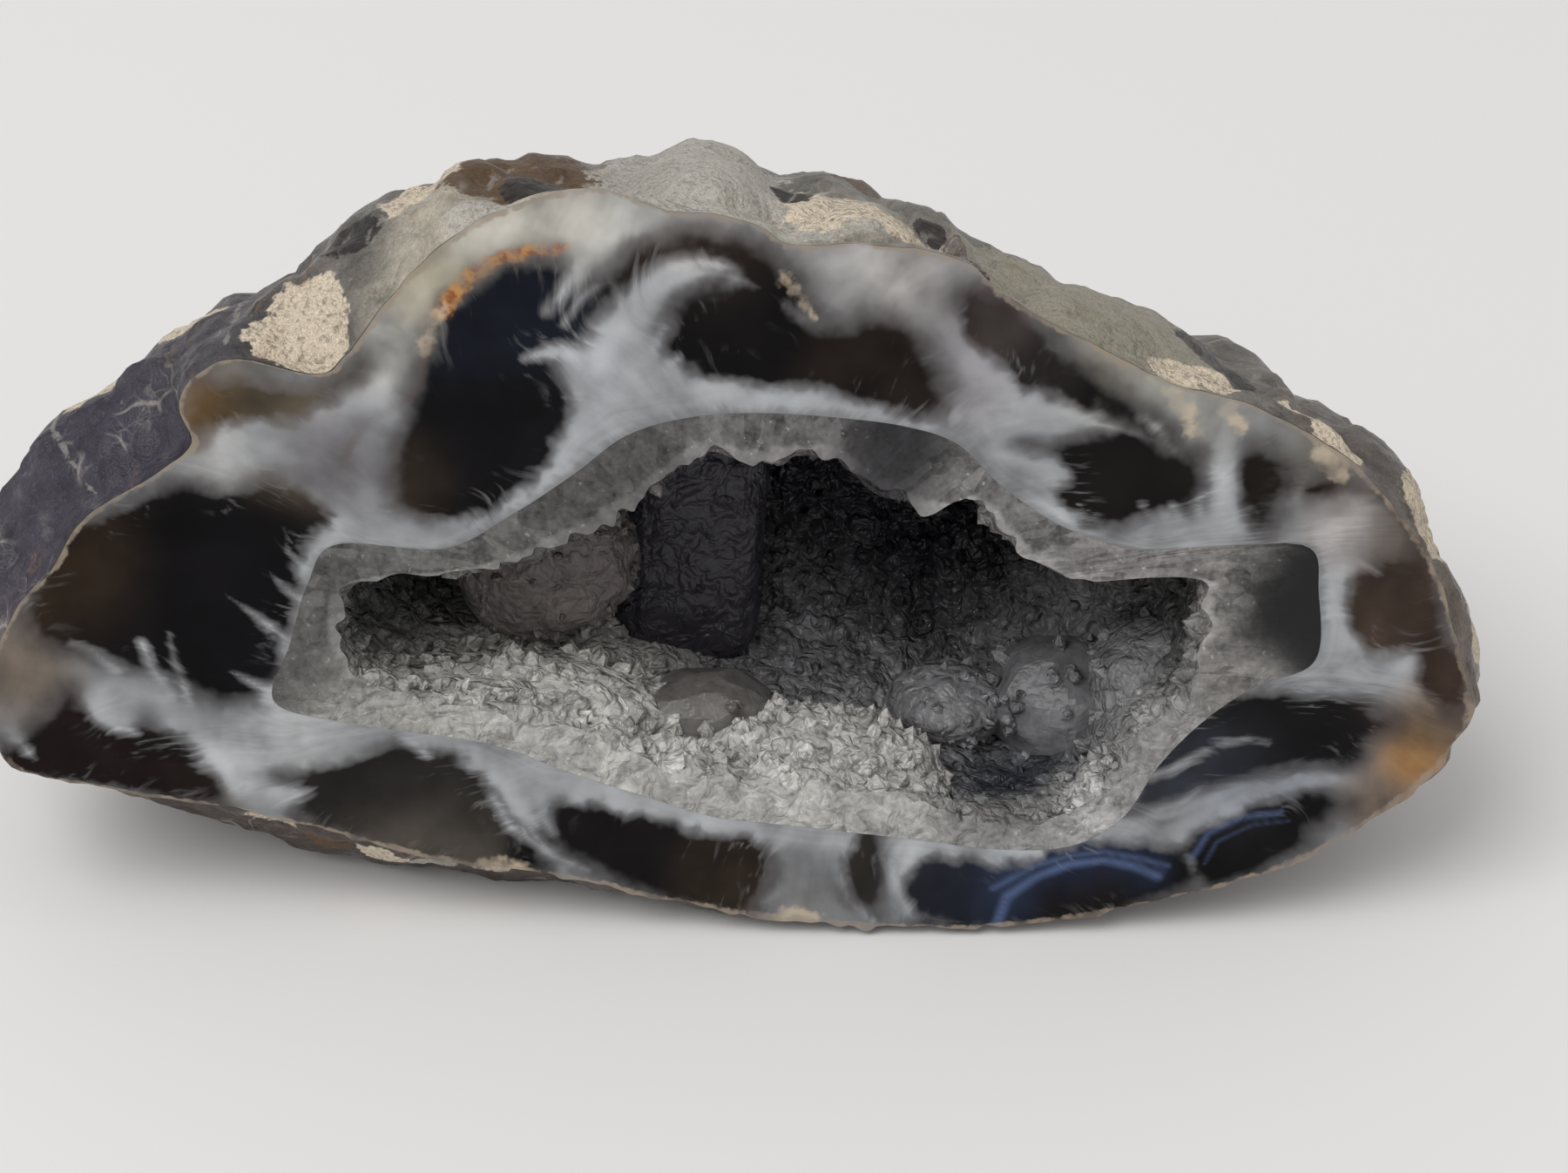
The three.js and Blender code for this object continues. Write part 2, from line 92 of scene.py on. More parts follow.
MOUTH_EDGE = [
    (-17.1, 0.6), (-15.8, 2.1), (-11.8, 2.5), (-9.2, 3.2), (-5.8, 4.8), (-3.6, 6.4), (-1.8, 7.8), (0.6, 7.6),
    (3.7, 7.8), (5.7, 6.4), (8.1, 5.4), (9.7, 5.7), (11.6, 3.8), (14.0, 2.2), (16.6, 2.2), (19.6, 2.0),
    (19.6, 0.0), (19.2, -2.8), (18.0, -5.3), (16.6, -7.6), (14.4, -9.0), (11.3, -9.3), (8.7, -8.7), (5.6, -7.8),
    (1.9, -7.4), (-1.2, -7.2), (-4.2, -6.2), (-7.5, -4.9), (-10.9, -3.9), (-14.2, -3.4), (-16.6, -2.0),
]

# Rounded lobes and pits of the rind: across, up, depth behind the face, reach and height, in millimetres
RIND_LOBES = [
    (-30.6, 3.9, 5.5, 6.0, 0.9), (-24.8, 9.0, 6.0, 6.5, 1.1), (-18.7, 13.1, 5.5, 5.0, 0.9),
    (-13.5, 15.8, 8.0, 5.0, 0.8), (-7.0, 16.7, 6.5, 4.2, 0.8), (-1.3, 17.1, 7.5, 4.8, 1.2),
    (4.6, 16.0, 6.0, 4.0, 1.0), (8.8, 13.6, 6.5, 3.0, 0.6), (14.8, 11.7, 6.5, 5.5, 1.1),
    (20.1, 8.6, 6.5, 4.0, 1.0), (27.7, 4.6, 6.5, 4.5, 0.7), (30.9, -2.0, 7.0, 5.0, 0.7),
    (-32.4, -3.9, 7.5, 5.0, 0.7),
]
RIND_SPIKES = [(8.9, 14.2, 3.6, 1.2, 2.0), (10.0, 13.6, 3.4, 1.0, 1.2), (11.2, 12.8, 3.6, 0.8, 0.9)]
RIND_PITS = [
    (-19.0, 9.5, 12.0, 3.4, 1.0), (6.5, 15.0, 12.5, 3.2, 1.1), (25.0, -1.5, 17.5, 3.6, 1.2),
    (-12.0, 4.0, 21.0, 3.8, 1.1), (-26.5, -6.0, 15.5, 3.4, 1.0),
]
BACK_LOBES = 72  # large lobes spread over the rind
FINE_LOBES = 420  # small lobes spread over the rind
OVAL_HALF = (32, 16, 15)  # half sizes of the oval whose normals raise the rind: across, up and behind the rim

# Dark lobes of clear agate on the cut face, in millimetres
DARK_LOBES = {
    "left": [
        (-28.4, 4.6), (-26.7, 5.3), (-25.2, 6.1), (-23.6, 6.7), (-22.3, 6.5), (-21.3, 6.3), (-19.8, 6.9),
        (-18.5, 6.1), (-17.3, 5.1), (-18.0, 4.3), (-18.5, 3.3), (-18.8, 2.1), (-18.9, 0.8), (-19.4, -0.6),
        (-19.8, -2.1), (-20.8, -3.4), (-22.3, -3.6), (-23.5, -3.2), (-24.7, -2.3), (-26.5, -1.9), (-28.2, -1.2),
        (-30.6, -0.4), (-30.4, 1.3), (-29.4, 3.0),
    ],
    "low left": [
        (-31.9, -5.2), (-31.2, -5.4), (-30.0, -3.9), (-28.9, -2.9), (-28.3, -3.0), (-28.2, -3.9), (-27.4, -4.6),
        (-26.2, -5.0), (-25.6, -4.3), (-24.8, -4.9), (-23.6, -5.7), (-22.8, -6.8), (-22.6, -8.5), (-25.6, -8.2),
        (-29.1, -7.5), (-32.5, -7.0),
    ],
    "bottom left": [
        (-20.3, -6.9), (-17.3, -6.4), (-14.9, -5.6), (-13.5, -6.0), (-12.5, -6.0), (-11.1, -7.4), (-10.5, -8.5),
        (-9.6, -9.9), (-8.3, -11.2), (-8.8, -12.0), (-11.3, -12.1), (-14.0, -11.3), (-17.3, -10.2),
        (-19.4, -9.2), (-19.6, -7.8),
    ],
    "bottom middle": [
        (-8.7, -9.4), (-8.1, -8.5), (-6.7, -8.4), (-5.6, -8.7), (-4.9, -9.1), (-4.3, -8.9), (-3.2, -9.2),
        (-2.2, -9.8), (-0.8, -10.0), (0.8, -10.2), (1.4, -11.3), (1.1, -12.6), (0.5, -14.0), (-2.2, -13.8),
        (-4.3, -13.0), (-6.0, -12.0), (-7.8, -11.1), (-8.3, -10.3),
    ],
    "small brown": [
        (4.9, -10.6), (5.3, -9.6), (5.9, -9.4), (6.1, -10.2), (6.6, -11.3), (6.4, -12.7), (6.0, -13.9),
        (4.9, -13.3), (4.4, -12.3), (4.3, -11.1),
    ],
    "navy": [
        (7.0, -12.7), (7.5, -11.5), (8.2, -11.0), (9.2, -11.2), (9.9, -11.0), (11.0, -11.4), (12.5, -11.2),
        (14.3, -10.4), (15.8, -10.2), (17.6, -10.4), (19.3, -10.6), (19.9, -11.5), (20.1, -12.2), (18.1, -13.4),
        (15.3, -14.4), (13.3, -14.9), (11.4, -14.9), (9.2, -14.6), (7.7, -14.2), (7.1, -13.3),
    ],
    "right bottom": [
        (19.5, -10.6), (20.1, -9.6), (21.6, -8.8), (23.4, -8.1), (25.2, -7.7), (26.1, -8.1), (26.6, -8.4),
        (25.8, -8.9), (25.2, -9.6), (24.9, -10.6), (23.5, -11.6), (21.7, -12.3), (20.5, -12.7), (19.9, -12.1),
    ],
    "right low": [
        (17.4, -6.3), (18.3, -5.2), (19.8, -4.1), (20.9, -3.3), (22.9, -3.0), (24.9, -3.1), (26.9, -3.1),
        (27.6, -3.9), (28.2, -4.7), (27.4, -5.5), (26.4, -6.7), (24.9, -6.7), (23.3, -7.0), (21.6, -7.4),
        (19.9, -8.0), (18.8, -8.5), (16.6, -9.1), (17.1, -8.0),
    ],
    "right": [
        (25.9, 2.1), (26.6, 2.8), (28.1, 3.4), (28.8, 4.6), (27.8, 5.7), (25.6, 6.0), (23.6, 6.0), (23.7, 6.7),
        (25.0, 7.0), (27.0, 6.2), (28.7, 4.8), (29.7, 2.1), (30.4, -0.1), (31.5, -1.9), (31.3, -3.7),
        (29.8, -3.9), (29.0, -2.6), (28.8, -1.4), (27.8, -1.2), (26.8, -1.2), (26.1, -0.4), (25.6, 0.8),
    ],
    "small upright": [
        (20.8, 7.6), (21.2, 8.3), (22.0, 8.3), (23.0, 7.4), (23.6, 6.9), (23.1, 6.0), (22.8, 5.3), (22.4, 4.4),
        (21.7, 4.2), (21.2, 4.8), (20.9, 6.0),
    ],
    "upper right": [
        (11.6, 8.5), (13.1, 8.4), (14.5, 8.7), (15.8, 8.9), (17.5, 8.6), (18.3, 8.1), (19.3, 8.1), (19.6, 6.9),
        (19.4, 5.6), (18.7, 5.3), (17.9, 5.3), (16.8, 4.9), (16.0, 4.6), (14.7, 4.9), (13.7, 5.6), (13.2, 6.2),
        (13.8, 6.7), (12.8, 7.9),
    ],
    "upper wedge": [
        (9.0, 14.9), (10.2, 15.3), (11.4, 14.9), (12.4, 13.8), (13.8, 12.3), (15.9, 10.8), (17.8, 9.2),
        (18.4, 8.2), (17.3, 8.3), (15.0, 9.6), (12.7, 10.5), (10.8, 11.8), (9.4, 13.4),
    ],
    "upper middle": [
        (-3.0, 13.4), (-2.8, 14.4), (-2.0, 15.1), (-0.6, 15.5), (0.7, 15.5), (1.8, 15.0), (2.6, 13.9),
        (4.3, 13.7), (5.6, 14.1), (6.9, 13.6), (7.6, 12.9), (8.4, 11.3), (9.1, 9.5), (8.0, 9.6), (6.3, 9.9),
        (4.5, 10.4), (3.0, 10.8), (1.3, 10.9), (-0.3, 11.2), (-1.5, 11.4), (-2.5, 12.0), (-3.1, 12.5),
    ],
    "arch": [
        (-7.3, 13.9), (-6.4, 15.1), (-5.3, 16.2), (-4.2, 17.1), (-2.8, 17.6), (-1.3, 17.8), (0.1, 17.6),
        (1.3, 16.9), (2.6, 15.4), (3.2, 14.0), (1.8, 14.2), (0.4, 15.2), (-0.5, 15.9), (-1.7, 16.3),
        (-3.0, 15.9), (-4.2, 14.9), (-5.3, 13.5), (-6.4, 12.4),
    ],
    "upper left": [
        (-14.5, 8.1), (-14.0, 9.5), (-13.7, 11.0), (-13.0, 12.4), (-12.5, 13.6), (-11.8, 14.8), (-10.6, 15.9),
        (-9.3, 16.5), (-7.6, 16.6), (-6.8, 15.8), (-6.8, 14.4), (-6.5, 13.6), (-6.1, 12.9), (-7.6, 12.7),
        (-8.8, 12.2), (-7.6, 12.0), (-7.1, 10.9), (-7.2, 9.6), (-7.6, 8.5), (-8.2, 7.5), (-8.9, 6.5),
        (-9.9, 5.8), (-10.8, 5.2), (-12.1, 4.9), (-13.5, 5.0), (-14.5, 5.6), (-14.7, 7.0),
    ],
    "top left rim": [
        (-23.4, 9.2), (-23.0, 10.6), (-21.8, 11.3), (-19.8, 11.1), (-18.1, 10.9), (-16.3, 11.8), (-15.4, 12.1),
        (-15.5, 11.2), (-17.0, 10.1), (-18.4, 9.7), (-19.8, 9.7), (-21.0, 9.4), (-22.2, 8.7), (-22.8, 8.5),
    ],
}

# Milky plumes that cut into the dark lobes: half width at the start, at the end, and the line, in millimetres
PLUMES = [
    (0.34, -0.22, [(-19.2, -0.8), (-20.2, 0.2), (-21.3, 1.1), (-22.4, 2.0)]),
    (0.32, -0.15, [(-20.1, -3.2), (-21.2, -2.4), (-22.1, -1.9)]),
    (0.16, 0.05, [(-23.6, -3.6), (-24.0, -2.1), (-24.2, -1.3), (-24.3, -0.3)]),
    (0.22, 0.06, [(-24.5, -3.1), (-25.2, -1.8), (-25.5, -0.7)]),
    (0.20, 0.06, [(-26.6, -2.1), (-27.6, -1.1), (-28.5, -0.7)]),
    (0.24, -0.15, [(-18.2, 2.4), (-19.0, 3.4), (-19.2, 4.2)]),
    (0.26, -0.15, [(-18.5, 1.1), (-19.5, 2.0), (-20.0, 2.7)]),
    (0.36, 0.08, [(-31.8, -4.1), (-31.2, -5.2), (-30.5, -6.2)]),
    (0.45, 0.10, [(-27.4, -3.6), (-27.5, -4.2), (-26.8, -4.7), (-26.1, -4.9)]),
    (0.95, 0.44, [(-22.3, -5.9), (-21.6, -6.8), (-21.1, -8.0), (-19.4, -7.8)]),
    (0.30, 0.08, [(-13.6, -4.5), (-14.4, -5.2), (-13.5, -6.1)]),
    (0.26, 0.08, [(-8.7, -8.2), (-8.7, -8.9), (-8.2, -9.8)]),
    (0.29, 0.08, [(-9.6, -8.2), (-9.4, -8.7), (-8.9, -9.4)]),
    (0.16, 0.05, [(-10.8, -8.0), (-10.0, -9.5), (-8.4, -10.8), (-6.7, -11.6)]),
    (0.42, 0.10, [(1.7, -9.9), (2.1, -11.3), (2.2, -12.2), (1.0, -13.2)]),
    (0.24, 0.08, [(4.2, -9.6), (3.8, -10.4), (4.1, -11.9), (4.9, -13.3), (5.7, -14.1)]),
    (0.18, 0.08, [(4.9, -9.4), (4.4, -10.4), (4.6, -11.6)]),
    (0.54, 0.14, [(7.3, -10.0), (6.6, -11.1), (6.7, -12.5), (7.5, -13.9)]),
    (0.24, 0.06, [(17.1, -7.2), (18.5, -6.7), (20.2, -5.7), (21.7, -5.3), (22.7, -5.5)]),
    (0.50, 0.25, [(16.5, -9.5), (19.0, -8.7), (21.6, -7.7), (24.1, -7.2), (26.5, -7.2), (27.3, -8.3)]),
    (1.00, 0.33, [(24.3, -2.1), (26.4, -2.4), (28.2, -3.0), (29.6, -3.7)]),
    (0.45, 0.12, [(24.5, 2.1), (25.2, 1.4), (25.6, -0.1), (26.5, -1.5)]),
    (0.80, 0.22, [(24.5, 3.5), (25.3, 4.7), (26.9, 5.4)]),
    (0.50, 0.10, [(24.8, 2.6), (26.1, 3.0), (26.9, 2.6)]),
    (0.50, 0.42, [(20.7, 4.4), (20.3, 6.0), (20.1, 7.4), (20.5, 8.8), (20.4, 10.8)]),
    (0.70, 0.08, [(9.2, 9.5), (11.3, 9.3), (13.2, 9.2), (15.0, 9.6)]),
    (0.25, 0.06, [(17.0, 3.9), (17.3, 4.9), (16.9, 5.5)]),
    (0.25, 0.06, [(18.6, 4.1), (18.4, 5.1), (18.1, 5.6)]),
    (0.28, 0.06, [(19.6, 4.4), (19.2, 5.5), (19.4, 6.2)]),
    (0.17, 0.06, [(16.8, 9.5), (17.5, 8.9), (18.1, 8.0)]),
    (1.10, 0.10, [(-6.1, 11.4), (-5.4, 13.0), (-4.4, 14.6), (-3.1, 15.8), (-1.7, 16.3), (-0.1, 16.0)]),
    (0.42, 0.08, [(-6.3, 11.8), (-7.3, 12.5), (-8.9, 12.1)]),
    (0.34, 0.06, [(-4.0, 10.6), (-3.2, 11.5), (-2.5, 12.1)]),
    (0.26, 0.06, [(-4.3, 11.6), (-3.6, 12.5), (-3.1, 13.4)]),
    (0.26, 0.40, [(-7.8, 14.2), (-7.0, 15.4), (-6.1, 16.5), (-4.9, 17.6), (-3.2, 18.4)]),
    (0.14, 0.04, [(-7.2, 13.6), (-6.5, 14.7), (-5.7, 15.3)]),
]

# Colours of the face's dark lobes around a place: across, up, reach in millimetres, and linear red, green, blue
DARK_TINTS = [
    (-27.5, 2.8, 2.0, (0.045, 0.028, 0.016)), (-24.0, 1.5, 3.0, (0.006, 0.005, 0.007)),
    (-27.0, -6.8, 2.5, (0.018, 0.011, 0.010)), (-15.0, -7.4, 2.0, (0.026, 0.023, 0.022)),
    (-14.5, -10.4, 1.8, (0.110, 0.096, 0.080)), (-5.5, -11.0, 2.0, (0.010, 0.008, 0.009)),
    (-1.0, -12.4, 1.6, (0.040, 0.028, 0.020)), (5.4, -12.0, 1.6, (0.050, 0.043, 0.036)),
    (8.6, -12.8, 2.0, (0.027, 0.031, 0.048)), (14.9, -13.4, 2.0, (0.014, 0.010, 0.009)),
    (14.4, -11.2, 1.2, (0.030, 0.044, 0.088)), (11.7, -12.6, 1.2, (0.030, 0.044, 0.088)),
    (17.2, -11.2, 1.0, (0.030, 0.042, 0.080)),
    (22.5, -10.6, 2.6, (0.010, 0.009, 0.010)), (22.0, -4.2, 3.0, (0.010, 0.009, 0.010)),
    (20.4, -7.0, 2.0, (0.062, 0.070, 0.092)), (28.0, 2.5, 3.0, (0.086, 0.059, 0.045)),
    (30.0, -2.0, 2.0, (0.070, 0.045, 0.034)), (22.0, 6.4, 1.6, (0.022, 0.016, 0.013)),
    (16.6, 6.6, 2.6, (0.013, 0.010, 0.010)), (10.6, 13.8, 1.4, (0.085, 0.068, 0.062)),
    (12.8, 11.6, 1.2, (0.034, 0.027, 0.028)), (16.0, 9.8, 1.6, (0.012, 0.009, 0.010)),
    (-0.5, 13.6, 2.4, (0.006, 0.005, 0.006)),
    (6.0, 12.0, 2.2, (0.026, 0.017, 0.014)), (-1.2, 16.4, 1.8, (0.040, 0.028, 0.022)),
    (-10.4, 13.6, 2.0, (0.012, 0.015, 0.027)), (-10.4, 8.6, 2.4, (0.007, 0.006, 0.008)),
    (-13.6, 7.0, 1.2, (0.045, 0.032, 0.022)), (-19.5, 10.1, 2.0, (0.150, 0.120, 0.085)),
    (-22.2, 9.8, 1.3, (0.190, 0.115, 0.048)), (-16.6, 11.2, 1.2, (0.085, 0.072, 0.062)),
]

# The same for the pale agate between them
PALE_TINTS = [
    (0.0, 0.0, 20.0, (0.318, 0.332, 0.345)), (-16.8, 7.6, 1.9, (0.150, 0.135, 0.142)),
    (-22.0, 7.6, 1.4, (0.400, 0.400, 0.400)), (-21.0, 11.6, 1.2, (0.180, 0.160, 0.140)),
    (-14.8, 12.4, 1.4, (0.480, 0.470, 0.430)), (-30.6, -2.0, 1.6, (0.160, 0.125, 0.095)),
    (-12.8, 15.4, 1.8, (0.550, 0.490, 0.350)), (-9.6, 17.8, 1.8, (0.700, 0.660, 0.560)),
    (-6.6, 18.4, 1.8, (0.620, 0.590, 0.520)), (-2.2, 17.9, 1.6, (0.440, 0.425, 0.400)),
    (3.0, 16.4, 1.8, (0.300, 0.280, 0.270)), (6.6, 15.8, 2.0, (0.660, 0.630, 0.600)),
    (8.6, 14.0, 2.2, (0.150, 0.128, 0.140)), (9.6, 10.6, 1.4, (0.290, 0.270, 0.285)),
    (15.6, 12.0, 1.8, (0.440, 0.420, 0.340)), (19.0, 10.2, 1.8, (0.300, 0.290, 0.260)),
    (24.4, 8.0, 1.6, (0.180, 0.165, 0.140)), (27.9, 4.2, 1.7, (0.090, 0.064, 0.048)),
    (29.6, -4.6, 1.4, (0.150, 0.105, 0.070)), (29.0, -6.2, 1.2, (0.380, 0.190, 0.055)),
    (27.4, -8.2, 1.2, (0.160, 0.115, 0.085)),
    (2.6, -12.6, 1.6, (0.130, 0.125, 0.125)), (-11.5, -12.0, 1.5, (0.160, 0.145, 0.120)),
    (-17.0, -10.6, 1.5, (0.110, 0.100, 0.088)), (2.6, -14.0, 0.8, (0.300, 0.280, 0.240)),
    (-23.0, -9.2, 1.2, (0.150, 0.130, 0.100)), (-18.6, -5.4, 2.2, (0.470, 0.485, 0.490)),
    (-6.2, 10.2, 1.8, (0.365, 0.380, 0.400)), (25.2, 4.7, 1.3, (0.380, 0.355, 0.345)),
    (22.5, -7.6, 2.2, (0.230, 0.245, 0.275)),
]

# Coloured veins: name, half width at the start and end, and the line, in millimetres. A vein whose half width
# is nothing or less shows only its soft edge.
VEINS = [
    ("rust", 0.30, 0.20, [(-12.2, 14.1), (-11.6, 15.0), (-10.6, 16.0), (-9.5, 16.6), (-8.4, 16.7),
                          (-7.2, 16.9)]),
    ("cream", 0.28, 0.20, [(-13.0, 12.6), (-12.6, 13.5), (-12.2, 14.2)]),
    ("cream", 0.16, 0.10, [(1.8, 15.7), (2.5, 14.8), (3.0, 13.9)]),
    ("cream", 0.30, 0.20, [(30.7, 0.1), (31.3, -0.9)]),
    ("cream", 0.42, 0.22, [(18.0, 10.5), (18.6, 9.7), (19.0, 8.8)]),
    ("cream", 0.35, 0.20, [(20.3, 9.9), (21.0, 9.0)]),
    ("cream", 0.50, 0.30, [(24.4, 7.9), (25.2, 6.9)]),
    ("cream", 0.48, 0.30, [(2.0, -13.9), (3.2, -14.0)]),
    ("cream", 0.34, 0.20, [(-11.2, -11.3), (-9.7, -11.5)]),
    ("brown", 0.14, 0.14, [(-12.8, 12.7), (-13.4, 10.9), (-14.0, 10.2), (-16.0, 8.8), (-16.7, 7.4)]),
    ("blue", 0.14, 0.08, [(11.1, -14.6), (11.6, -12.9), (12.9, -11.9), (14.3, -11.3), (15.8, -11.1),
                          (17.1, -11.4), (18.2, -11.9)]),
    ("blue", 0.02, 0.00, [(11.0, -12.5), (12.8, -11.4), (14.3, -10.9), (15.8, -10.7), (17.3, -11.0),
                          (18.6, -11.4)]),
    ("blue", 0.00, 0.00, [(19.6, -11.1), (20.3, -9.8), (21.8, -9.0), (23.4, -8.8)]),
    ("blue", -0.10, -0.10, [(20.2, -11.3), (20.7, -10.2), (22.2, -9.4), (23.8, -9.2)]),
]

# How far milky fibres lean from straight outward around a place: across, up, reach, lean in millimetres of
# the crust's edge per millimetre outward
FIBRE_LEANS = [
    (-4.0, 13.0, 4.0, -0.9), (-24.0, 0.0, 5.0, 0.5), (16.0, 7.0, 4.0, 0.6), (22.0, -6.0, 4.0, -0.8),
    (27.0, 3.0, 4.0, 0.3), (-13.0, -8.0, 4.0, 0.6), (5.0, -12.0, 4.0, 0.7),
]

# Patches on the rind: kind, across, up, depth and reach in millimetres
RIND_PATCHES = [
    ("green", 15.9, 11.8, 5.0, 5.2), ("green", 12.6, 13.4, 7.0, 3.0), ("green", 19.6, 10.6, 3.4, 2.4),
    ("brown", -7.8, 18.4, 6.0, 4.4), ("brown", -10.6, 18.4, 6.5, 3.0),
    ("white", -1.2, 18.6, 7.4, 5.2), ("white", -2.4, 17.2, 9.6, 4.0),
    ("white", -2.6, 18.4, 2.4, 3.0), ("white", 3.6, 17.6, 3.0, 2.6),
    ("cream", -16.9, 11.4, 1.9, 2.2), ("cream", -18.8, 11.6, 1.8, 1.4), ("cream", -13.6, 16.6, 6.6, 2.0),
    ("cream", 4.4, 17.6, 4.6, 2.3), ("cream", 7.4, 16.6, 4.0, 1.9), ("cream", 24.4, 8.6, 3.0, 1.8),
    ("cream", 29.0, 3.6, 3.0, 2.0), ("cream", 20.2, 10.4, 2.0, 1.3), ("cream", 31.0, -1.5, 3.4, 1.6),
    ("cream", -31.4, 3.4, 7.0, 2.6), ("cream", -29.0, 7.6, 7.2, 2.4), ("cream", -25.4, 11.0, 7.4, 2.0),
    ("cream", -32.4, -1.8, 4.0, 2.2), ("cream", -32.6, -4.2, 2.4, 1.8), ("white", -10.0, 17.6, 1.2, 1.9),
    ("cream", 18.9, 11.2, 1.2, 1.3), ("cream", 25.2, 8.0, 1.2, 1.5),
    ("cream", -20.5, -9.8, 1.6, 1.0), ("cream", -15.6, -11.2, 1.8, 1.2), ("cream", -11.5, -12.6, 1.8, 0.9),
    ("brown", -17.8, -10.8, 2.2, 1.2), ("white", -13.4, -12.0, 2.2, 1.0), ("dark", 22.4, 9.8, 6.4, 2.4),
    ("dark", -15.6, 14.4, 5.0, 1.5), ("dark", 8.9, 16.2, 6.4, 0.9), ("dark", 11.2, 14.6, 5.4, 1.0),
    ("dark", 2.4, 17.8, 7.4, 1.0), ("dark", -9.4, 18.8, 4.6, 1.5),
]
RIND_KINDS = ("green", "brown", "white", "cream", "dark")
BACK_PATCHES = 60  # seeded patches of colour at the back of the rind

# Colours of the bare rind around a place: across, up, depth and reach in millimetres, and linear colour
RIND_TINTS = [
    (-31.0, 2.0, 6.0, 5.0, (0.055, 0.047, 0.064)), (-27.0, 7.0, 5.0, 4.0, (0.042, 0.038, 0.056)),
    (-23.0, 10.5, 5.0, 3.0, (0.055, 0.050, 0.064)), (-20.0, 12.5, 4.5, 2.5, (0.085, 0.076, 0.078)),
    (-33.0, -4.0, 3.0, 2.5, (0.140, 0.085, 0.062)), (-16.0, 14.5, 6.0, 3.0, (0.150, 0.140, 0.125)),
    (-11.0, 17.0, 3.0, 3.0, (0.460, 0.420, 0.340)), (-8.0, 17.5, 6.0, 3.0, (0.090, 0.055, 0.026)),
    (-2.0, 18.0, 5.0, 4.0, (0.520, 0.490, 0.420)), (4.0, 16.5, 5.0, 3.0, (0.330, 0.300, 0.250)),
    (-2.4, 17.0, 9.6, 3.0, (0.480, 0.450, 0.390)),
    (9.0, 14.5, 4.0, 2.5, (0.200, 0.175, 0.160)), (15.0, 12.0, 5.0, 4.0, (0.270, 0.255, 0.195)),
    (21.0, 9.0, 4.0, 3.0, (0.150, 0.140, 0.125)), (26.0, 6.0, 4.0, 3.5, (0.110, 0.095, 0.085)),
    (30.0, 1.0, 4.0, 3.5, (0.140, 0.115, 0.095)), (31.0, -4.0, 5.0, 3.0, (0.120, 0.095, 0.078)),
    (0.0, -14.0, 3.0, 9.0, (0.075, 0.060, 0.050)), (-20.0, -10.0, 3.0, 6.0, (0.060, 0.046, 0.038)),
    (20.0, -10.0, 5.0, 6.0, (0.120, 0.105, 0.092)), (0.0, 10.0, 16.0, 9.0, (0.135, 0.128, 0.112)),
    (-18.0, 4.0, 16.0, 8.0, (0.092, 0.082, 0.086)), (18.0, 2.0, 16.0, 8.0, (0.125, 0.112, 0.098)),
    (0.0, -4.0, 20.0, 9.0, (0.105, 0.096, 0.092)),
]

# Lumps of quartz inside the hollow: middle (across, up, depth), half sizes, turn in degrees, squareness, which
# is 1 for an oval ball and nearer 0 for a block, linear colour, the number and radius of its crystals, and how
# smooth it is between them, from 0 to 1
DRUSE_LUMPS = [
    ((14.6, -7.1, 8.2), (3.9, 3.0, 3.6), 0, 1.0, (0.245, 0.245, 0.255), 60, 0.30, 0.95),
    ((9.3, -7.2, 8.0), (2.6, 1.6, 2.6), 0, 1.0, (0.27, 0.27, 0.28), 70, 0.28, 0.5),
    ((-1.5, -6.3, 5.0), (3.0, 1.8, 2.4), 0, 0.8, (0.215, 0.20, 0.19), 8, 0.26, 1.0),
    ((-2.4, 0.0, 11.2), (3.3, 6.4, 2.0), -4, 0.5, (0.052, 0.048, 0.060), 150, 0.20, 0.6),
    ((-8.7, 0.4, 7.3), (3.9, 3.6, 2.5), 24, 0.8, (0.165, 0.146, 0.140), 110, 0.24, 0.5),
    ((3.3, -8.2, 3.3), (5.6, 2.5, 2.6), -8, 1.0, (0.61, 0.595, 0.565), 290, 0.40, 0.0),
    ((-7.4, -6.2, 4.4), (5.2, 2.4, 3.0), -14, 1.0, (0.64, 0.63, 0.59), 210, 0.44, 0.0),
    ((18.6, -5.6, 6.4), (3.2, 3.2, 3.4), 0, 1.0, (0.30, 0.295, 0.305), 60, 0.34, 0.3),
]
LUMP_SIDES = 58  # columns of a lump's grid
LUMP_RINGS = 34  # rings of a lump's grid
LUMP_CAPS = 120  # round caps that stud a lump
LUMP_FACETS = 70  # planes that cut a smooth lump
LINING_CAPS = 2600  # round caps that stud the lining
OUTER_ROWS = 12  # rings up the crust's outer side
BAND_ROWS = 7  # rings across the cut band
HEART = (0.55, 0.0, 0.45)  # crystals point at this share of their own place

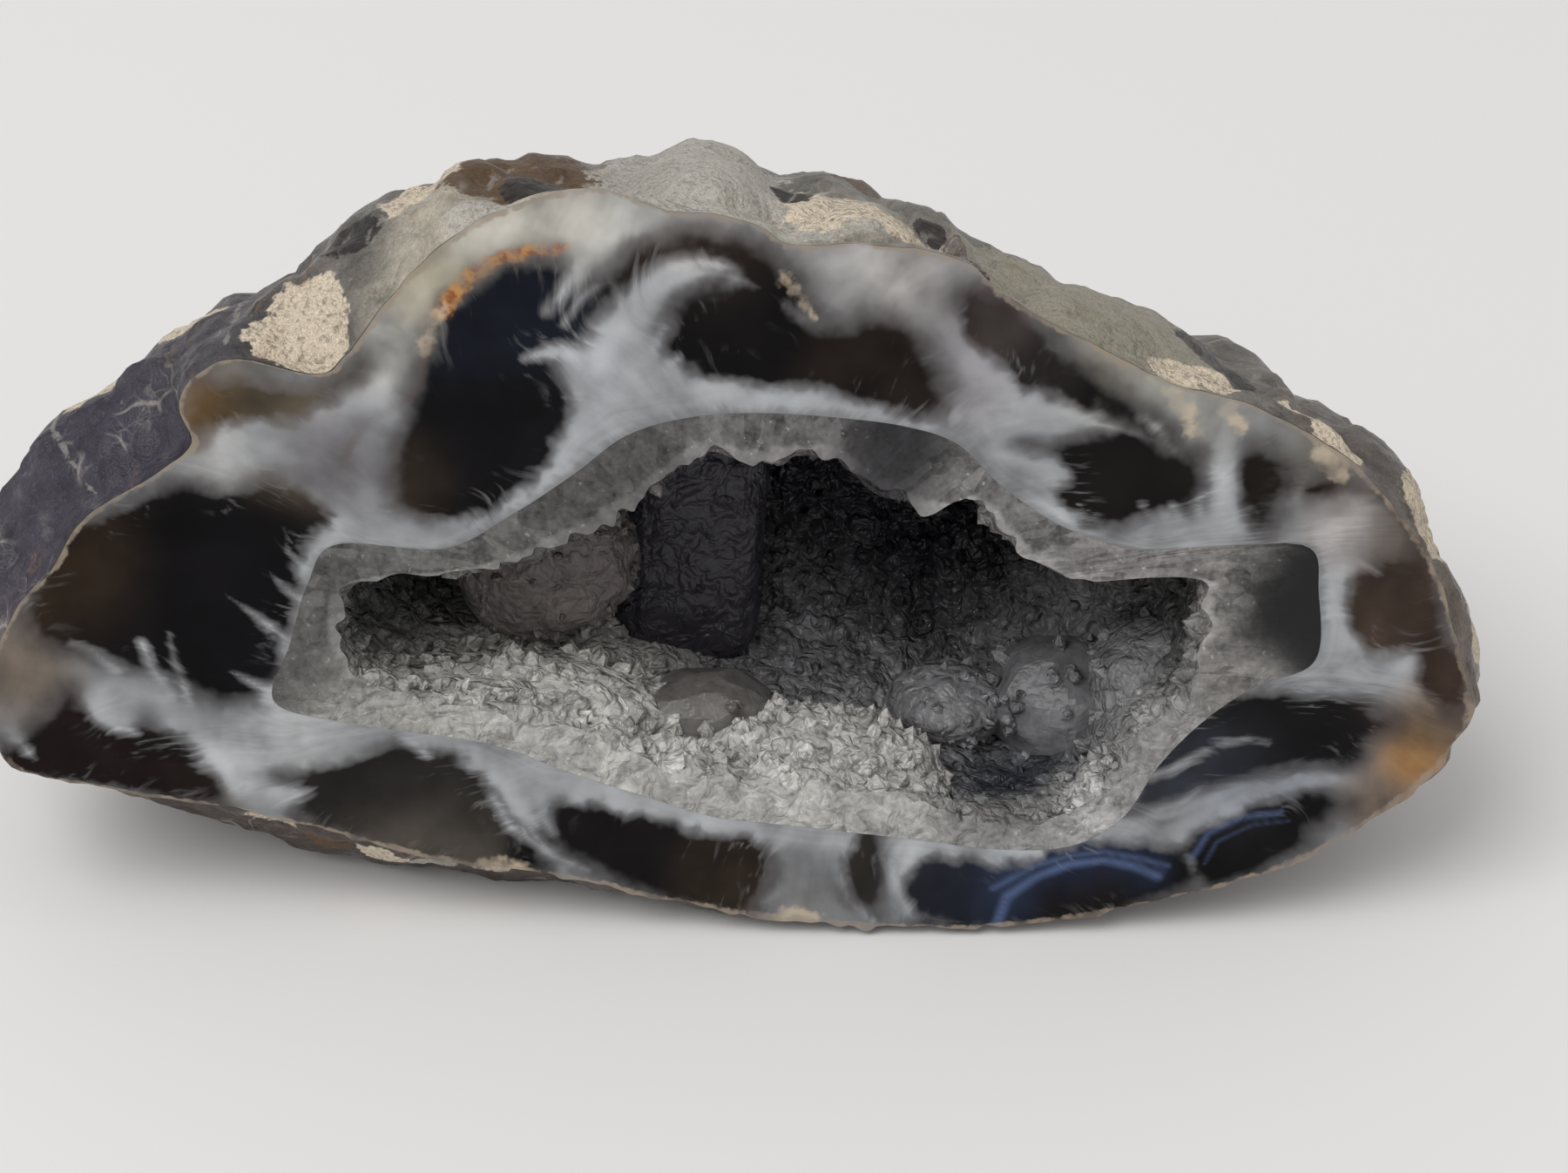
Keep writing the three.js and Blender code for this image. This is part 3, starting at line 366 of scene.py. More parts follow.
# Colours of the quartz around a place: across, up, depth and reach in millimetres, and linear red, green, blue
# These hold painted light and shade besides the quartz's own colour: the cut band is darker on its upper side
# and paler on its lower side, where light falls, and the hollow is darkest at its back, its ceiling and the pit
# below the dome, partly from dark agate seen through the quartz and partly as painted shade.
QUARTZ_TINTS_AND_SHADE = [
    (-12.0, 4.4, 0.0, 3.0, (0.13, 0.13, 0.123)), (-5.6, 7.0, 0.0, 2.2, (0.095, 0.091, 0.086)),
    (0.6, 8.8, 0.0, 2.4, (0.19, 0.18, 0.18)), (6.6, 7.9, 0.0, 1.5, (0.02, 0.019, 0.022)),
    (11.0, 5.6, 0.0, 2.3, (0.20, 0.195, 0.19)), (17.0, 3.0, 0.0, 2.5, (0.22, 0.21, 0.205)),
    (21.0, 3.2, 0.0, 1.2, (0.22, 0.21, 0.20)), (20.5, 0.8, 0.0, 0.8, (0.26, 0.25, 0.24)),
    (23.3, 2.1, 0.0, 1.7, (0.001, 0.001, 0.002)), (23.3, 0.2, 0.0, 1.6, (0.001, 0.001, 0.002)),
    (21.6, -2.2, 0.0, 1.2, (0.24, 0.23, 0.22)), (-18.4, -0.6, 0.0, 2.2, (0.11, 0.108, 0.104)),
    (-15.0, -4.0, 0.0, 2.5, (0.36, 0.36, 0.335)), (-9.0, -5.5, 0.0, 2.5, (0.38, 0.38, 0.36)),
    (-2.0, -8.2, 0.0, 2.5, (0.41, 0.41, 0.39)), (5.0, -9.0, 0.0, 2.5, (0.41, 0.41, 0.39)),
    (12.0, -10.0, 0.0, 2.0, (0.38, 0.37, 0.36)), (17.0, -7.5, 0.0, 2.0, (0.34, 0.335, 0.33)),
    (-10.0, -5.0, 3.5, 4.0, (0.70, 0.69, 0.64)), (-3.0, -7.5, 4.0, 3.0, (0.68, 0.66, 0.62)),
    (4.0, -8.0, 3.0, 3.0, (0.72, 0.70, 0.66)), (15.0, -9.0, 1.8, 1.5, (0.90, 0.89, 0.86)),
    (18.5, -5.4, 4.0, 1.0, (0.60, 0.59, 0.58)), (12.3, -8.8, 3.6, 3.0, (0.006, 0.010, 0.022)),
    (11.6, -7.8, 5.0, 1.6, (0.030, 0.036, 0.055)), (13.6, -4.6, 7.4, 3.6, (0.36, 0.36, 0.365)),
    (8.6, -6.4, 6.8, 3.0, (0.40, 0.40, 0.41)), (2.0, -5.0, 9.0, 4.0, (0.24, 0.24, 0.25)),
    (-7.0, -4.0, 8.0, 3.6, (0.56, 0.54, 0.51)), (-15.0, 0.5, 5.0, 3.0, (0.12, 0.12, 0.12)),
    (4.0, 3.0, 12.0, 6.0, (0.010, 0.009, 0.013)), (11.0, 1.0, 11.0, 5.0, (0.012, 0.012, 0.016)),
    (-2.3, 0.6, 9.2, 2.8, (0.052, 0.045, 0.058)), (-8.1, 0.8, 5.4, 2.8, (0.20, 0.175, 0.17)),
    (18.4, -1.4, 7.0, 3.0, (0.085, 0.085, 0.084)), (0.0, 6.0, 4.0, 4.0, (0.06, 0.057, 0.06)),
    (-13.0, 1.0, 9.0, 4.0, (0.06, 0.06, 0.06)),
]


def chance(index, stream):
    """A repeatable number from 0 to 1 for each whole number: the fraction of a large multiple of a sine."""
    wave = np.sin(np.asarray(index) * 127.1 + stream * 311.7) * 43758.5453
    return wave - np.floor(wave)


def smooth_step(value, low, high):
    """0 below low, 1 above high, and between them 3 t squared less 2 t cubed."""
    share = np.clip((value - low) / (high - low), 0, 1)
    return share * share * (3 - 2 * share)


def noise(points, size, stream):
    """Value noise from -1 to 1: random numbers at the corners of cubes of a size, blended by smooth steps."""
    place = np.asarray(points) / size
    corner = np.floor(place)
    share = smooth_step(place - corner, 0, 1)
    total = 0
    for offset in np.ndindex(2, 2, 2):
        weight = np.prod(np.where(np.array(offset) == 1, share, 1 - share), axis=-1)
        total = total + weight * chance((corner + offset) @ (1.0, 57.0, 113.0), stream)
    return 2 * total - 1


def closed_curve(points, steps=OUTLINE_STEPS):
    """A closed Catmull-Rom spline: between two points a cubic, with half the step between the neighbours of a
    point as its slope there."""
    corners = np.asarray(points, float)
    t = (np.arange(steps) / steps)[None, :, None]
    before, start, end, after = (np.roll(corners, shift, axis=0)[:, None, :] for shift in (1, 0, -1, -2))
    leaving = (end - before) / 2
    arriving = (after - start) / 2
    cubic = 2 * start - 2 * end + leaving + arriving
    square = 3 * end - 3 * start - 2 * leaving - arriving
    curve = ((cubic * t + square) * t + leaving) * t + start
    return curve.reshape(-1, corners.shape[1])


def outline_radius(points, angle):
    """The distance from the middle of the face to an outline at each angle."""
    x, y = closed_curve(points).T
    return np.interp(angle, np.arctan2(y, x), np.hypot(x, y), period=2 * np.pi)


def ring_angles(count):
    """Angles of a ring's columns: those of a circle squeezed upright into an oval."""
    phase = 2 * np.pi * np.arange(count) / count
    return np.arctan2(SQUEEZE * np.sin(phase), np.cos(phase))


def polar_points(angle, radius, depth):
    """Points on the given rays from the middle of the face, at a depth behind it."""
    parts = np.broadcast_arrays(radius * np.cos(angle), radius * np.sin(angle), -np.asarray(depth, float))
    return np.stack(parts, axis=-1)


def signed_distance(points, outline):
    """Distance of flat points from a closed outline, positive inside it. A point is inside where a level line
    to its right crosses the outline an odd number of times."""
    corners = closed_curve(outline, 3)
    least = np.full(len(points), np.inf)
    inside = np.zeros(len(points), bool)
    for start, end in zip(corners, np.roll(corners, -1, axis=0)):
        step = end - start
        away = points - start
        share = np.clip(away @ step / max(step @ step, 1e-12), 0, 1)
        least = np.minimum(least, np.hypot(*(away - share[:, None] * step).T))
        crosses = (start[1] > points[:, 1]) != (end[1] > points[:, 1])
        rise = np.where(step[1] == 0, 1e-12, step[1])
        inside ^= crosses & (points[:, 0] < start[0] + step[0] * (points[:, 1] - start[1]) / rise)
    return np.where(inside, least, -least)


def stroke_depth(points, first, last, line, relative=False):
    """How deep flat points lie inside a stroke whose half width runs from first to last along its line, in
    millimetres or, if relative, as a share of the half width there and half a millimetre."""
    corners = np.asarray(line, float)
    lengths = np.hypot(*np.diff(corners, axis=0).T)
    gone = np.concatenate([[0], np.cumsum(lengths)]) / lengths.sum()
    deepest = np.full(len(points), -np.inf)
    for i, start in enumerate(corners[:-1]):
        step = corners[i + 1] - start
        away = points - start
        share = np.clip(away @ step / (step @ step), 0, 1)
        along = gone[i] + share * (gone[i + 1] - gone[i])
        far = np.hypot(*(away - share[:, None] * step).T)
        width = first + (last - first) * along
        deepest = np.maximum(deepest, (width - far) / (width + 0.50) if relative else width - far)
    return deepest


def rim_radius(angle):
    """The distance from the middle of the face to its ragged rim: its outline and noise in two sizes, which
    is stronger on the lower side."""
    smooth = outline_radius(FACE_EDGE, angle)
    points = polar_points(angle, smooth, 0)
    ragged = 0.16 * noise(points, 1.3, 11) + 0.12 * noise(points, 0.6, 12)
    return smooth + ragged * (0.4 + 0.9 * smooth_step(-points[..., 1], -3, 6))


def rind_point(angle, along):
    """A smooth point of the rind. along runs from 0 at the cut face over 1 at the end of the rim to 2 at the
    back: a power of the depth in front, and behind a quarter of an oval that is fuller than an ellipse."""
    front = rim_radius(angle)
    wide = outline_radius(RIND_EDGE, angle)
    geode = bpy.context.scene.geode
    turn = np.clip(along - 1, 0, 1) * np.pi / 2
    rim_depth, deepest = geode.rim_depth / MM, geode.stone_depth / MM
    rim = front + (wide - front) * np.clip(along, 0, 1) ** geode.rim_curve
    radius = np.where(along < 1, rim, wide * np.maximum(np.cos(turn), 0) ** geode.back_roundness)
    depth = np.where(along < 1, rim_depth * along, rim_depth + (deepest - rim_depth) * np.sin(turn))
    return polar_points(angle, radius, depth)


def outward(points):
    """The way out of the stone: the normal of a smooth oval that fits it."""
    behind = np.maximum(0, -points[..., 2] - bpy.context.scene.geode.rim_depth / MM)
    across, up, back = OVAL_HALF
    slope = np.stack([points[..., 0] / across**2, points[..., 1] / up**2, -behind / back**2], axis=-1)
    return slope / np.linalg.norm(slope, axis=-1, keepdims=True)


def spread_lobes(count, reach, height, power, stream, first=1.02, span=0.94):
    """Lobes spread over the rind by a golden-angle spiral, with seeded reach and height."""
    index = np.arange(count)
    middle = rind_point(index * GOLDEN_TURN, first + span * np.sqrt((index + 0.5) / count))
    size = reach[0] + (reach[1] - reach[0]) * chance(index, stream)
    tall = height[0] + (height[1] - height[0]) * chance(index, stream + 1)
    return middle, size, tall, power


def highest_caps(points, lobes):
    """The two highest of the round caps that cover each point. A cap's height is its full height times
    (1 - (distance / reach) squared) to a power."""
    first = np.zeros(len(points))
    second = np.zeros(len(points))
    middles, sizes, heights, power = lobes
    for middle, size, tall in zip(middles, sizes, heights):
        share = 1 - ((points - middle) ** 2).sum(axis=1) / size**2
        cap = tall * np.maximum(share, 0) ** power
        second = np.maximum(second, np.minimum(first, cap))
        first = np.maximum(first, cap)
    return first, second


def listed_caps(rows, power):
    """Caps given as across, up, depth, reach and height."""
    table = np.asarray(rows, float)
    return table[:, :3] * (1, 1, -1), table[:, 3], table[:, 4], power


def joined_caps(one, other):
    """Two sets of caps as one."""
    return tuple(np.concatenate(pair) for pair in zip(one[:3], other[:3])) + (one[3],)


def rind_relief(points):
    """How far the rind is lifted, and how near each point is to a crease between two lobes, from 0 to 1. The
    lift is the highest large lobe less the deepest pit, then smaller lobes and grain, all fading to nothing
    at the cut face."""
    depth = -points[:, 2]
    large = joined_caps(listed_caps(RIND_LOBES, 0.6), spread_lobes(BACK_LOBES, (3.4, 6.6), (0.6, 2.3), 0.6, 1))
    first, second = highest_caps(points, large)
    x, y, d, reach, height = np.array(RIND_SPIKES).T
    spike, _ = highest_caps(points, (on_rind(x, y, d), reach, height, 1.2))
    pit, _ = highest_caps(points, listed_caps(RIND_PITS, 1.4))
    warped = points + 0.5 * np.stack([noise(points, 1.8, s) for s in (21, 22, 23)], axis=-1)
    fine, under = highest_caps(warped, spread_lobes(FINE_LOBES, (1.2, 3.6), (0.25, 0.85), 0.6, 5, 0.25, 1.7))
    grain = 0.12 * noise(points, 1.1, 31) + 0.08 * noise(points, 0.5, 32) + 0.05 * noise(points, 0.26, 33)
    lift = (first + spike - pit - 0.28) * smooth_step(depth, 0, 3.0)
    lift += (fine + grain) * smooth_step(depth, 0, 1.2)
    crease = (1 - smooth_step(first - second, 0, 0.10)) * (second > 0.05)
    small_crease = (1 - smooth_step(fine - under, 0, 0.05)) * (under > 0.04)
    return lift, np.maximum(crease, 0.6 * small_crease) * smooth_step(depth, 0.3, 1.5)


def placed():
    """The turn and the shift that stand the stone up, both from the record's mount on the cut face: the turn
    has the face's own across, up and out directions as columns, and the shift is the middle of the face."""
    mount = next(m for m in frame["record"]["mounts"] if m["name"] == "cut_face")
    out = np.array(mount["axis"])
    across = np.array([1.0, 0.0, 0.0])
    turn = np.stack([across, np.cross(out, across), out], axis=1)
    middle = np.array(mount["pos_m"]) + across * bpy.context.scene.geode.mark_across
    return turn, middle


def stood_up(points):
    """Points in millimetres lying on their back, stood up in metres with nothing left below the floor."""
    turn, middle = placed()
    standing = points @ turn.T * MM + middle
    standing[..., 2] = np.maximum(standing[..., 2], 0)
    return standing


def grid_faces(rows, columns, first=0):
    """Quads of a grid of rows, each closed into a ring."""
    row = np.arange(rows - 1)[:, None] * columns
    column = np.arange(columns)[None, :]
    beside = (column + 1) % columns
    quads = np.stack([row + column, row + beside, row + columns + beside, row + columns + column], axis=-1)
    return quads.reshape(-1, 4) + first


def closed_rings(rings):
    """The vertices and faces of rings of points whose first and last rings are each drawn together into one
    middle point by a fan."""
    rows, columns = rings.shape[:2]
    vertices = np.concatenate([rings.reshape(-1, 3), rings[:1].mean(axis=1), rings[-1:].mean(axis=1)])
    column = np.arange(columns)
    beside = (column + 1) % columns
    start, end = rows * columns, rows * columns + 1
    last = (rows - 1) * columns
    fans = [
        np.stack([np.full(columns, start), beside, column], axis=-1),
        np.stack([np.full(columns, end), last + column, last + beside], axis=-1),
    ]
    return vertices, grid_faces(rows, columns), np.concatenate(fans)


def make_object(name, vertices, faces, materials, values=None, smooth=None, slots=None):
    """A mesh object from arrays of points and of faces with three or four corners each. values are numbers or
    colours per point, and smooth and slots are numbers per face."""
    mesh = bpy.data.meshes.new(name)
    corners = np.concatenate([part.ravel() for part in faces])
    counts = np.concatenate([np.full(len(part), part.shape[1]) for part in faces])
    mesh.vertices.add(len(vertices))
    mesh.vertices.foreach_set("co", np.asarray(vertices, np.float32).ravel())
    mesh.loops.add(len(corners))
    mesh.loops.foreach_set("vertex_index", corners.astype(np.int32))
    mesh.polygons.add(len(counts))
    mesh.polygons.foreach_set("loop_start", (np.cumsum(counts) - counts).astype(np.int32))
    if smooth is not None:
        mesh.polygons.foreach_set("use_smooth", smooth)
    if slots is not None:
        mesh.polygons.foreach_set("material_index", slots.astype(np.int32))
    mesh.update()
    for key, array in (values or {}).items():
        if array.ndim == 2:
            layer = mesh.attributes.new(key, "FLOAT_COLOR", "POINT")
            solid = np.concatenate([array, np.ones((len(array), 1))], axis=1)
            layer.data.foreach_set("color", solid.astype(np.float32).ravel())
        else:
            layer = mesh.attributes.new(key, "FLOAT", "POINT")
            layer.data.foreach_set("value", array.astype(np.float32))
    mesh.validate()
    for material in materials:
        mesh.materials.append(material)
    piece = bpy.data.objects.new(name, mesh)
    bpy.context.scene.collection.objects.link(piece)
    return piece


def tinted(points, tints):
    """Colours around places, averaged with weights that fall off as a bell curve of the distance over the
    reach. A far place keeps a trace of weight, so that there is a colour everywhere."""
    total = np.zeros(len(points))
    colour = np.zeros((len(points), 3))
    for x, y, reach, shade in tints:
        far = ((points - (x, y)) ** 2).sum(axis=1) / reach**2
        weight = np.exp(-far) + 1e-6 / (1 + far)
        total += weight
        colour += weight[:, None] * np.array(shade)
    return colour / total[:, None]


def tinted_in_space(points, tints):
    """The same for places in space, whose third number is the depth behind the face."""
    total = np.zeros(len(points))
    colour = np.zeros((len(points), 3))
    for x, y, depth, reach, shade in tints:
        far = ((points - (x, y, -depth)) ** 2).sum(axis=1) / reach**2
        weight = np.exp(-far) + 1e-5 / (1 + far)
        total += weight
        colour += weight[:, None] * np.array(shade)
    return colour / total[:, None]


def face_pattern(points):
    """Numbers and colours of the polished face at flat points: how deep each lies in a dark lobe, in a milky
    plume and in each kind of vein, and the tints of the dark and of the pale agate."""
    values = {
        "dark": np.max([signed_distance(points, lobe) for lobe in DARK_LOBES.values()], axis=0),
        "milk": np.max([stroke_depth(points, *plume, relative=True) for plume in PLUMES], axis=0),
    }
    for kind in ("rust", "cream", "brown", "blue"):
        depths = [stroke_depth(points, *vein[1:]) for vein in VEINS if vein[0] == kind]
        values[kind] = np.max(depths, axis=0)
    values = {key: np.clip(depth, -2, 2) for key, depth in values.items()}
    far = np.hypot(*points.T)
    beyond = points * (1 + 1.1 / far)[:, None]
    further = np.max([signed_distance(beyond, lobe) for lobe in DARK_LOBES.values()], axis=0)
    values["crest"] = smooth_step(further, -0.5, 0.7)
    edge = outline_radius(FACE_EDGE, np.arctan2(points[:, 1], points[:, 0]))
    values["skin"] = 1 - smooth_step(edge - far, 0, 1.1)
    values["dark_tint"] = tinted(points, DARK_TINTS)
    values["pale_tint"] = tinted(points, PALE_TINTS)
    return values


class Value:
    """A shader value. Python's arithmetic on it adds the nodes that work it out."""

    def __init__(self, graph, socket):
        self.graph = graph
        self.socket = socket

    def math(self, operation, *inputs):
        values = dict(enumerate(inputs))
        return self.graph.node("ShaderNodeMath", {"operation": operation}, values)

    def __add__(self, other):
        return self.math("ADD", self, other)

    def __radd__(self, other):
        return self.math("ADD", other, self)

    def __sub__(self, other):
        return self.math("SUBTRACT", self, other)

    def __rsub__(self, other):
        return self.math("SUBTRACT", other, self)

    def __mul__(self, other):
        return self.math("MULTIPLY", self, other)

    def __rmul__(self, other):
        return self.math("MULTIPLY", other, self)

    def __truediv__(self, other):
        return self.math("DIVIDE", self, other)

    def __rtruediv__(self, other):
        return self.math("DIVIDE", other, self)

    def beside(self, output):
        """Another output of the same node."""
        return Value(self.graph, self.socket.node.outputs[output])

    def most(self, other):
        return self.math("MAXIMUM", self, other)

    def step(self, low, high):
        """0 below low and 1 above high, with a smooth rise between."""
        values = {"Value": self, "From Min": low, "From Max": high}
        return self.graph.node("ShaderNodeMapRange", {"interpolation_type": "SMOOTHSTEP"}, values)


class Graph:
    """The node tree of a new material."""

    def __init__(self, name):
        self.material = bpy.data.materials.new(name)
        self.material.use_nodes = True
        self.tree = self.material.node_tree
        self.tree.nodes.clear()

    def node(self, kind, settings, inputs, output=0):
        node = self.tree.nodes.new(kind)
        for key, setting in settings.items():
            setattr(node, key, setting)
        for key, value in inputs.items():
            if isinstance(value, Value):
                self.tree.links.new(value.socket, node.inputs[key])
            else:
                node.inputs[key].default_value = value
        return Value(self, node.outputs[output])

    def number(self, name):
        return self.node("ShaderNodeAttribute", {"attribute_name": name}, {}, "Fac")

    def colour(self, name):
        return self.node("ShaderNodeAttribute", {"attribute_name": name}, {}, "Color")

    def place(self):
        """Object coordinates in millimetres."""
        return self.stretched(self.node("ShaderNodeTexCoord", {}, {}, "Object"), (1000, 1000, 1000))

    def stretched(self, vector, factors):
        return self.node("ShaderNodeVectorMath", {"operation": "MULTIPLY"}, {0: vector, 1: factors})

    def added(self, vector, other):
        return self.node("ShaderNodeVectorMath", {"operation": "ADD"}, {0: vector, 1: other})

    def noise(self, vector, scale, detail=2.0, output=0):
        """Fractal noise, near 0.5 on the average, in features of one over scale."""
        return self.node("ShaderNodeTexNoise", {}, {"Vector": vector, "Scale": scale, "Detail": detail}, output)

    def cells(self, vector, scale, feature, output=0, distance="EUCLIDEAN"):
        """Random cells: the distance from a cell's middle or edge, or the cell's own colour."""
        settings = {"feature": feature, "distance": distance}
        return self.node("ShaderNodeTexVoronoi", settings, {"Vector": vector, "Scale": scale}, output)

    def mix(self, share, first, second):
        """The first colour where share is 0, and the second where it is 1."""
        values = {0: share}
        for key, colour in ((6, first), (7, second)):
            values[key] = colour if isinstance(colour, Value) else (*colour, 1)
        return self.node("ShaderNodeMix", {"data_type": "RGBA"}, values, 2)

    def shaded(self, colour, strength):
        """A colour made brighter or darker by a number."""
        return self.node("ShaderNodeVectorMath", {"operation": "SCALE"}, {0: colour, "Scale": strength})

    def bump(self, height, distance, strength=1.0):
        return self.node("ShaderNodeBump", {}, {"Height": height, "Distance": distance, "Strength": strength})

    def finish(self, inputs):
        """The Principled shader with these inputs, as the material's surface."""
        surface = self.node("ShaderNodeBsdfPrincipled", {}, inputs)
        end = self.tree.nodes.new("ShaderNodeOutputMaterial")
        self.tree.links.new(surface.socket, end.inputs["Surface"])
        return self.material


def polished_agate():
    """Polished agate: pale cloudy agate with clear dark lobes in it. Their edges fade over a soft width and are
    frayed in places by fibres that grow outward from the crust. The pale agate is whitest on the crust's side
    of a lobe and duller at the rim, and coloured veins cross the face."""
    graph = Graph("polished agate")
    growth = graph.colour("growth")
    place = graph.place()
    drift = graph.stretched(graph.noise(place, 0.30, 1.0, 1), (2.4, 2.4, 1.0))
    drifting = graph.added(growth, drift)
    coarse = graph.noise(graph.stretched(drifting, (1.1, 1.1, 0.20)), 1.0, 2.0) - 0.5
    fine = graph.noise(graph.stretched(drifting, (3.2, 3.2, 0.36)), 1.0, 3.0) - 0.5
    cloudy = graph.noise(place, 0.35, 3.0) - 0.5
    smoke = graph.noise(place, 0.9, 2.0) - 0.5
    frayed = graph.noise(place, 0.28, 1.0).step(0.42, 0.60)
    depth = graph.number("dark")
    plume = graph.number("milk")
    crest = graph.number("crest")
    inside = depth + 0.15 + smoke * 1.1 + coarse * (0.35 + frayed * 0.8) + fine * (0.08 + frayed * 0.28)
    milk = (plume + coarse * 1.1 + fine * 0.9 + smoke * 0.5).step(-0.45, 0.70)
    clear = (inside / (1.05 - crest * 0.55)).step(-1.0, 1.0) * (1 - milk * 0.85)
    wisps = fine.step(0.04, 0.24) * (1 - depth.step(0.1, 1.6)) * frayed * 0.35
    clear = clear * (1 - wisps)
    rise = graph.number("rise")
    bands = graph.noise(graph.stretched(drifting, (0.12, 0.12, 2.6)), 1.0, 2.0) - 0.5
    near = 1 - rise.step(0.3, 2.4)
    light = 0.94 + cloudy * 1.3 + smoke * 0.35 + coarse * 0.5 + fine * 0.16 + bands * near * 0.5
    light = light + crest * 0.40 + milk * 0.12 - graph.number("skin") * 0.12
    pale = graph.shaded(graph.colour("pale_tint"), light.most(0.3))
    veil = graph.shaded(graph.colour("dark_tint"), 0.55 + cloudy * 1.2)
    colour = graph.mix(clear, pale, veil)
    # Painted shade: the face next to the crust is greyed on its upper side only.
    root = (1 - (rise + fine * 0.7 + smoke * 0.4).step(0.0, 0.5)) * graph.number("shaded root")
    colour = graph.mix(root * 0.55, colour, (0.150, 0.148, 0.148))
    rim = clear.step(0.2, 0.6) * (1 - clear.step(0.7, 1.0))
    colour = graph.mix(rim * 0.30, colour, (0.100, 0.085, 0.085))
    colour = veined(graph, colour, smoke)
    return graph.finish({"Base Color": colour, "Roughness": 0.18, "Specular IOR Level": 0.08})


def veined(graph, colour, smoke):
    """The polished face's colour with its bluish, rust, cream and brown veins and a pale frosting at its rim.
    Noise breaks them up."""
    geode = bpy.context.scene.geode
    sheen = (graph.number("blue") + smoke * 0.15).step(-0.30, 0.25)
    colour = graph.mix(sheen * 0.85, colour, geode.blue_vein)
    speckle = graph.noise(graph.place(), 2.0, 3.0) - 0.5
    broken = smoke.step(-0.15, 0.10)
    rust = graph.mix(speckle.step(-0.10, 0.12), geode.rust_vein, geode.amber_vein)
    for kind, shade, strength in (
        ("rust", rust, 0.95),
        ("cream", geode.cream_vein, 0.80),
        ("brown", geode.brown_vein, 0.50),
    ):
        vein = (graph.number(kind) + speckle * 0.9).step(-0.22, 0.18)
        colour = graph.mix(vein * (broken * 0.6 + 0.4) * strength, colour, shade)
    frost = (graph.number("skin") + speckle * 0.5).step(0.84, 0.98) * (0.3 + broken * 0.5)
    return graph.mix(frost, colour, (0.330, 0.270, 0.210))


def rough_rind():
    """The weathered rind: botryoidal chalcedony in small rounded lobes with thin pale seams between them, and
    ragged patches of other kinds, from smooth and clear to chalky and pitted."""
    graph = Graph("rough rind")
    place = graph.place()
    warp = graph.added(graph.noise(place, 0.45, 1.0, 1), (-0.5, -0.5, -0.5))
    bent = graph.added(place, graph.stretched(warp, (2.6, 2.6, 2.6)))
    medium = graph.noise(place, 0.7, 3.0) - 0.5
    grain = graph.noise(place, 3.2, 3.0) - 0.5
    fine = graph.noise(place, 9.0, 1.0) - 0.5
    lobe = graph.cells(bent, 0.34, "F1", 0)
    seam = graph.cells(bent, 0.34, "DISTANCE_TO_EDGE", 0)
    small_lobe = graph.cells(bent, 1.05, "F1", 0)
    small_seam = graph.cells(bent, 1.05, "DISTANCE_TO_EDGE", 0)
    thin = 1 - (seam + grain * 0.05).step(0.005, 0.045)
    thinner = 1 - (small_seam + grain * 0.1).step(0.01, 0.07)
    seams = thin.most(thinner * 0.3) * graph.noise(place, 0.35, 2.0).step(0.50, 0.66)
    base = graph.shaded(graph.colour("rind_tint"), 1.0 + medium * 1.6 + grain * 0.7)
    base = graph.mix(medium.step(0.08, 0.24) * 0.35, base, (0.210, 0.190, 0.175))
    worn = medium * 1.9 + grain * 1.3
    chalk = 0
    geode = bpy.context.scene.geode
    for kind, shade, weight, roughness in (
        ("green", geode.green_rind, 0.92, 0.2),
        ("brown", geode.brown_rind, 0.95, 0.1),
        ("white", geode.white_rind, 0.85, 0.4),
        ("cream", geode.cream_rind, 0.94, 0.8),
        ("dark", geode.dark_rind, 0.95, 0.1),
    ):
        cover = (graph.number(f"{kind} patch") + worn * 0.60).step(0.34, 0.50)
        base = graph.mix(cover * weight, base, shade)
        chalk = chalk * (1 - cover) + cover * roughness
    seams = seams * (1 - graph.number("brown patch") * 0.8)
    dust = seams.most((graph.number("crease") + grain * 1.4).step(0.40, 0.8) * 0.8)
    base = graph.mix(dust * 0.62, base, (0.38, 0.35, 0.32))
    stain = graph.noise(place, 0.45, 3.0).step(0.58, 0.70) * grain.step(-0.05, 0.12)
    base = graph.mix(stain * 0.45, base, (0.26, 0.15, 0.075))
    pits = grain.step(-0.14, -0.05)
    colour = graph.shaded(base, 1.0 + fine * 0.7 - (1 - pits) * chalk * 0.45)
    rounded = 0.42 - lobe * lobe * 0.42 - small_lobe * small_lobe * 0.16
    height = rounded + grain * (0.10 + chalk * 0.5) + fine * 0.05
    return graph.finish(
        {
            "Base Color": colour,
            "Roughness": 0.38 + chalk * 0.4 + grain * 0.3,
            "Specular IOR Level": 0.30,
            "Normal": graph.bump(height, 0.001, 1.0),
        }
    )


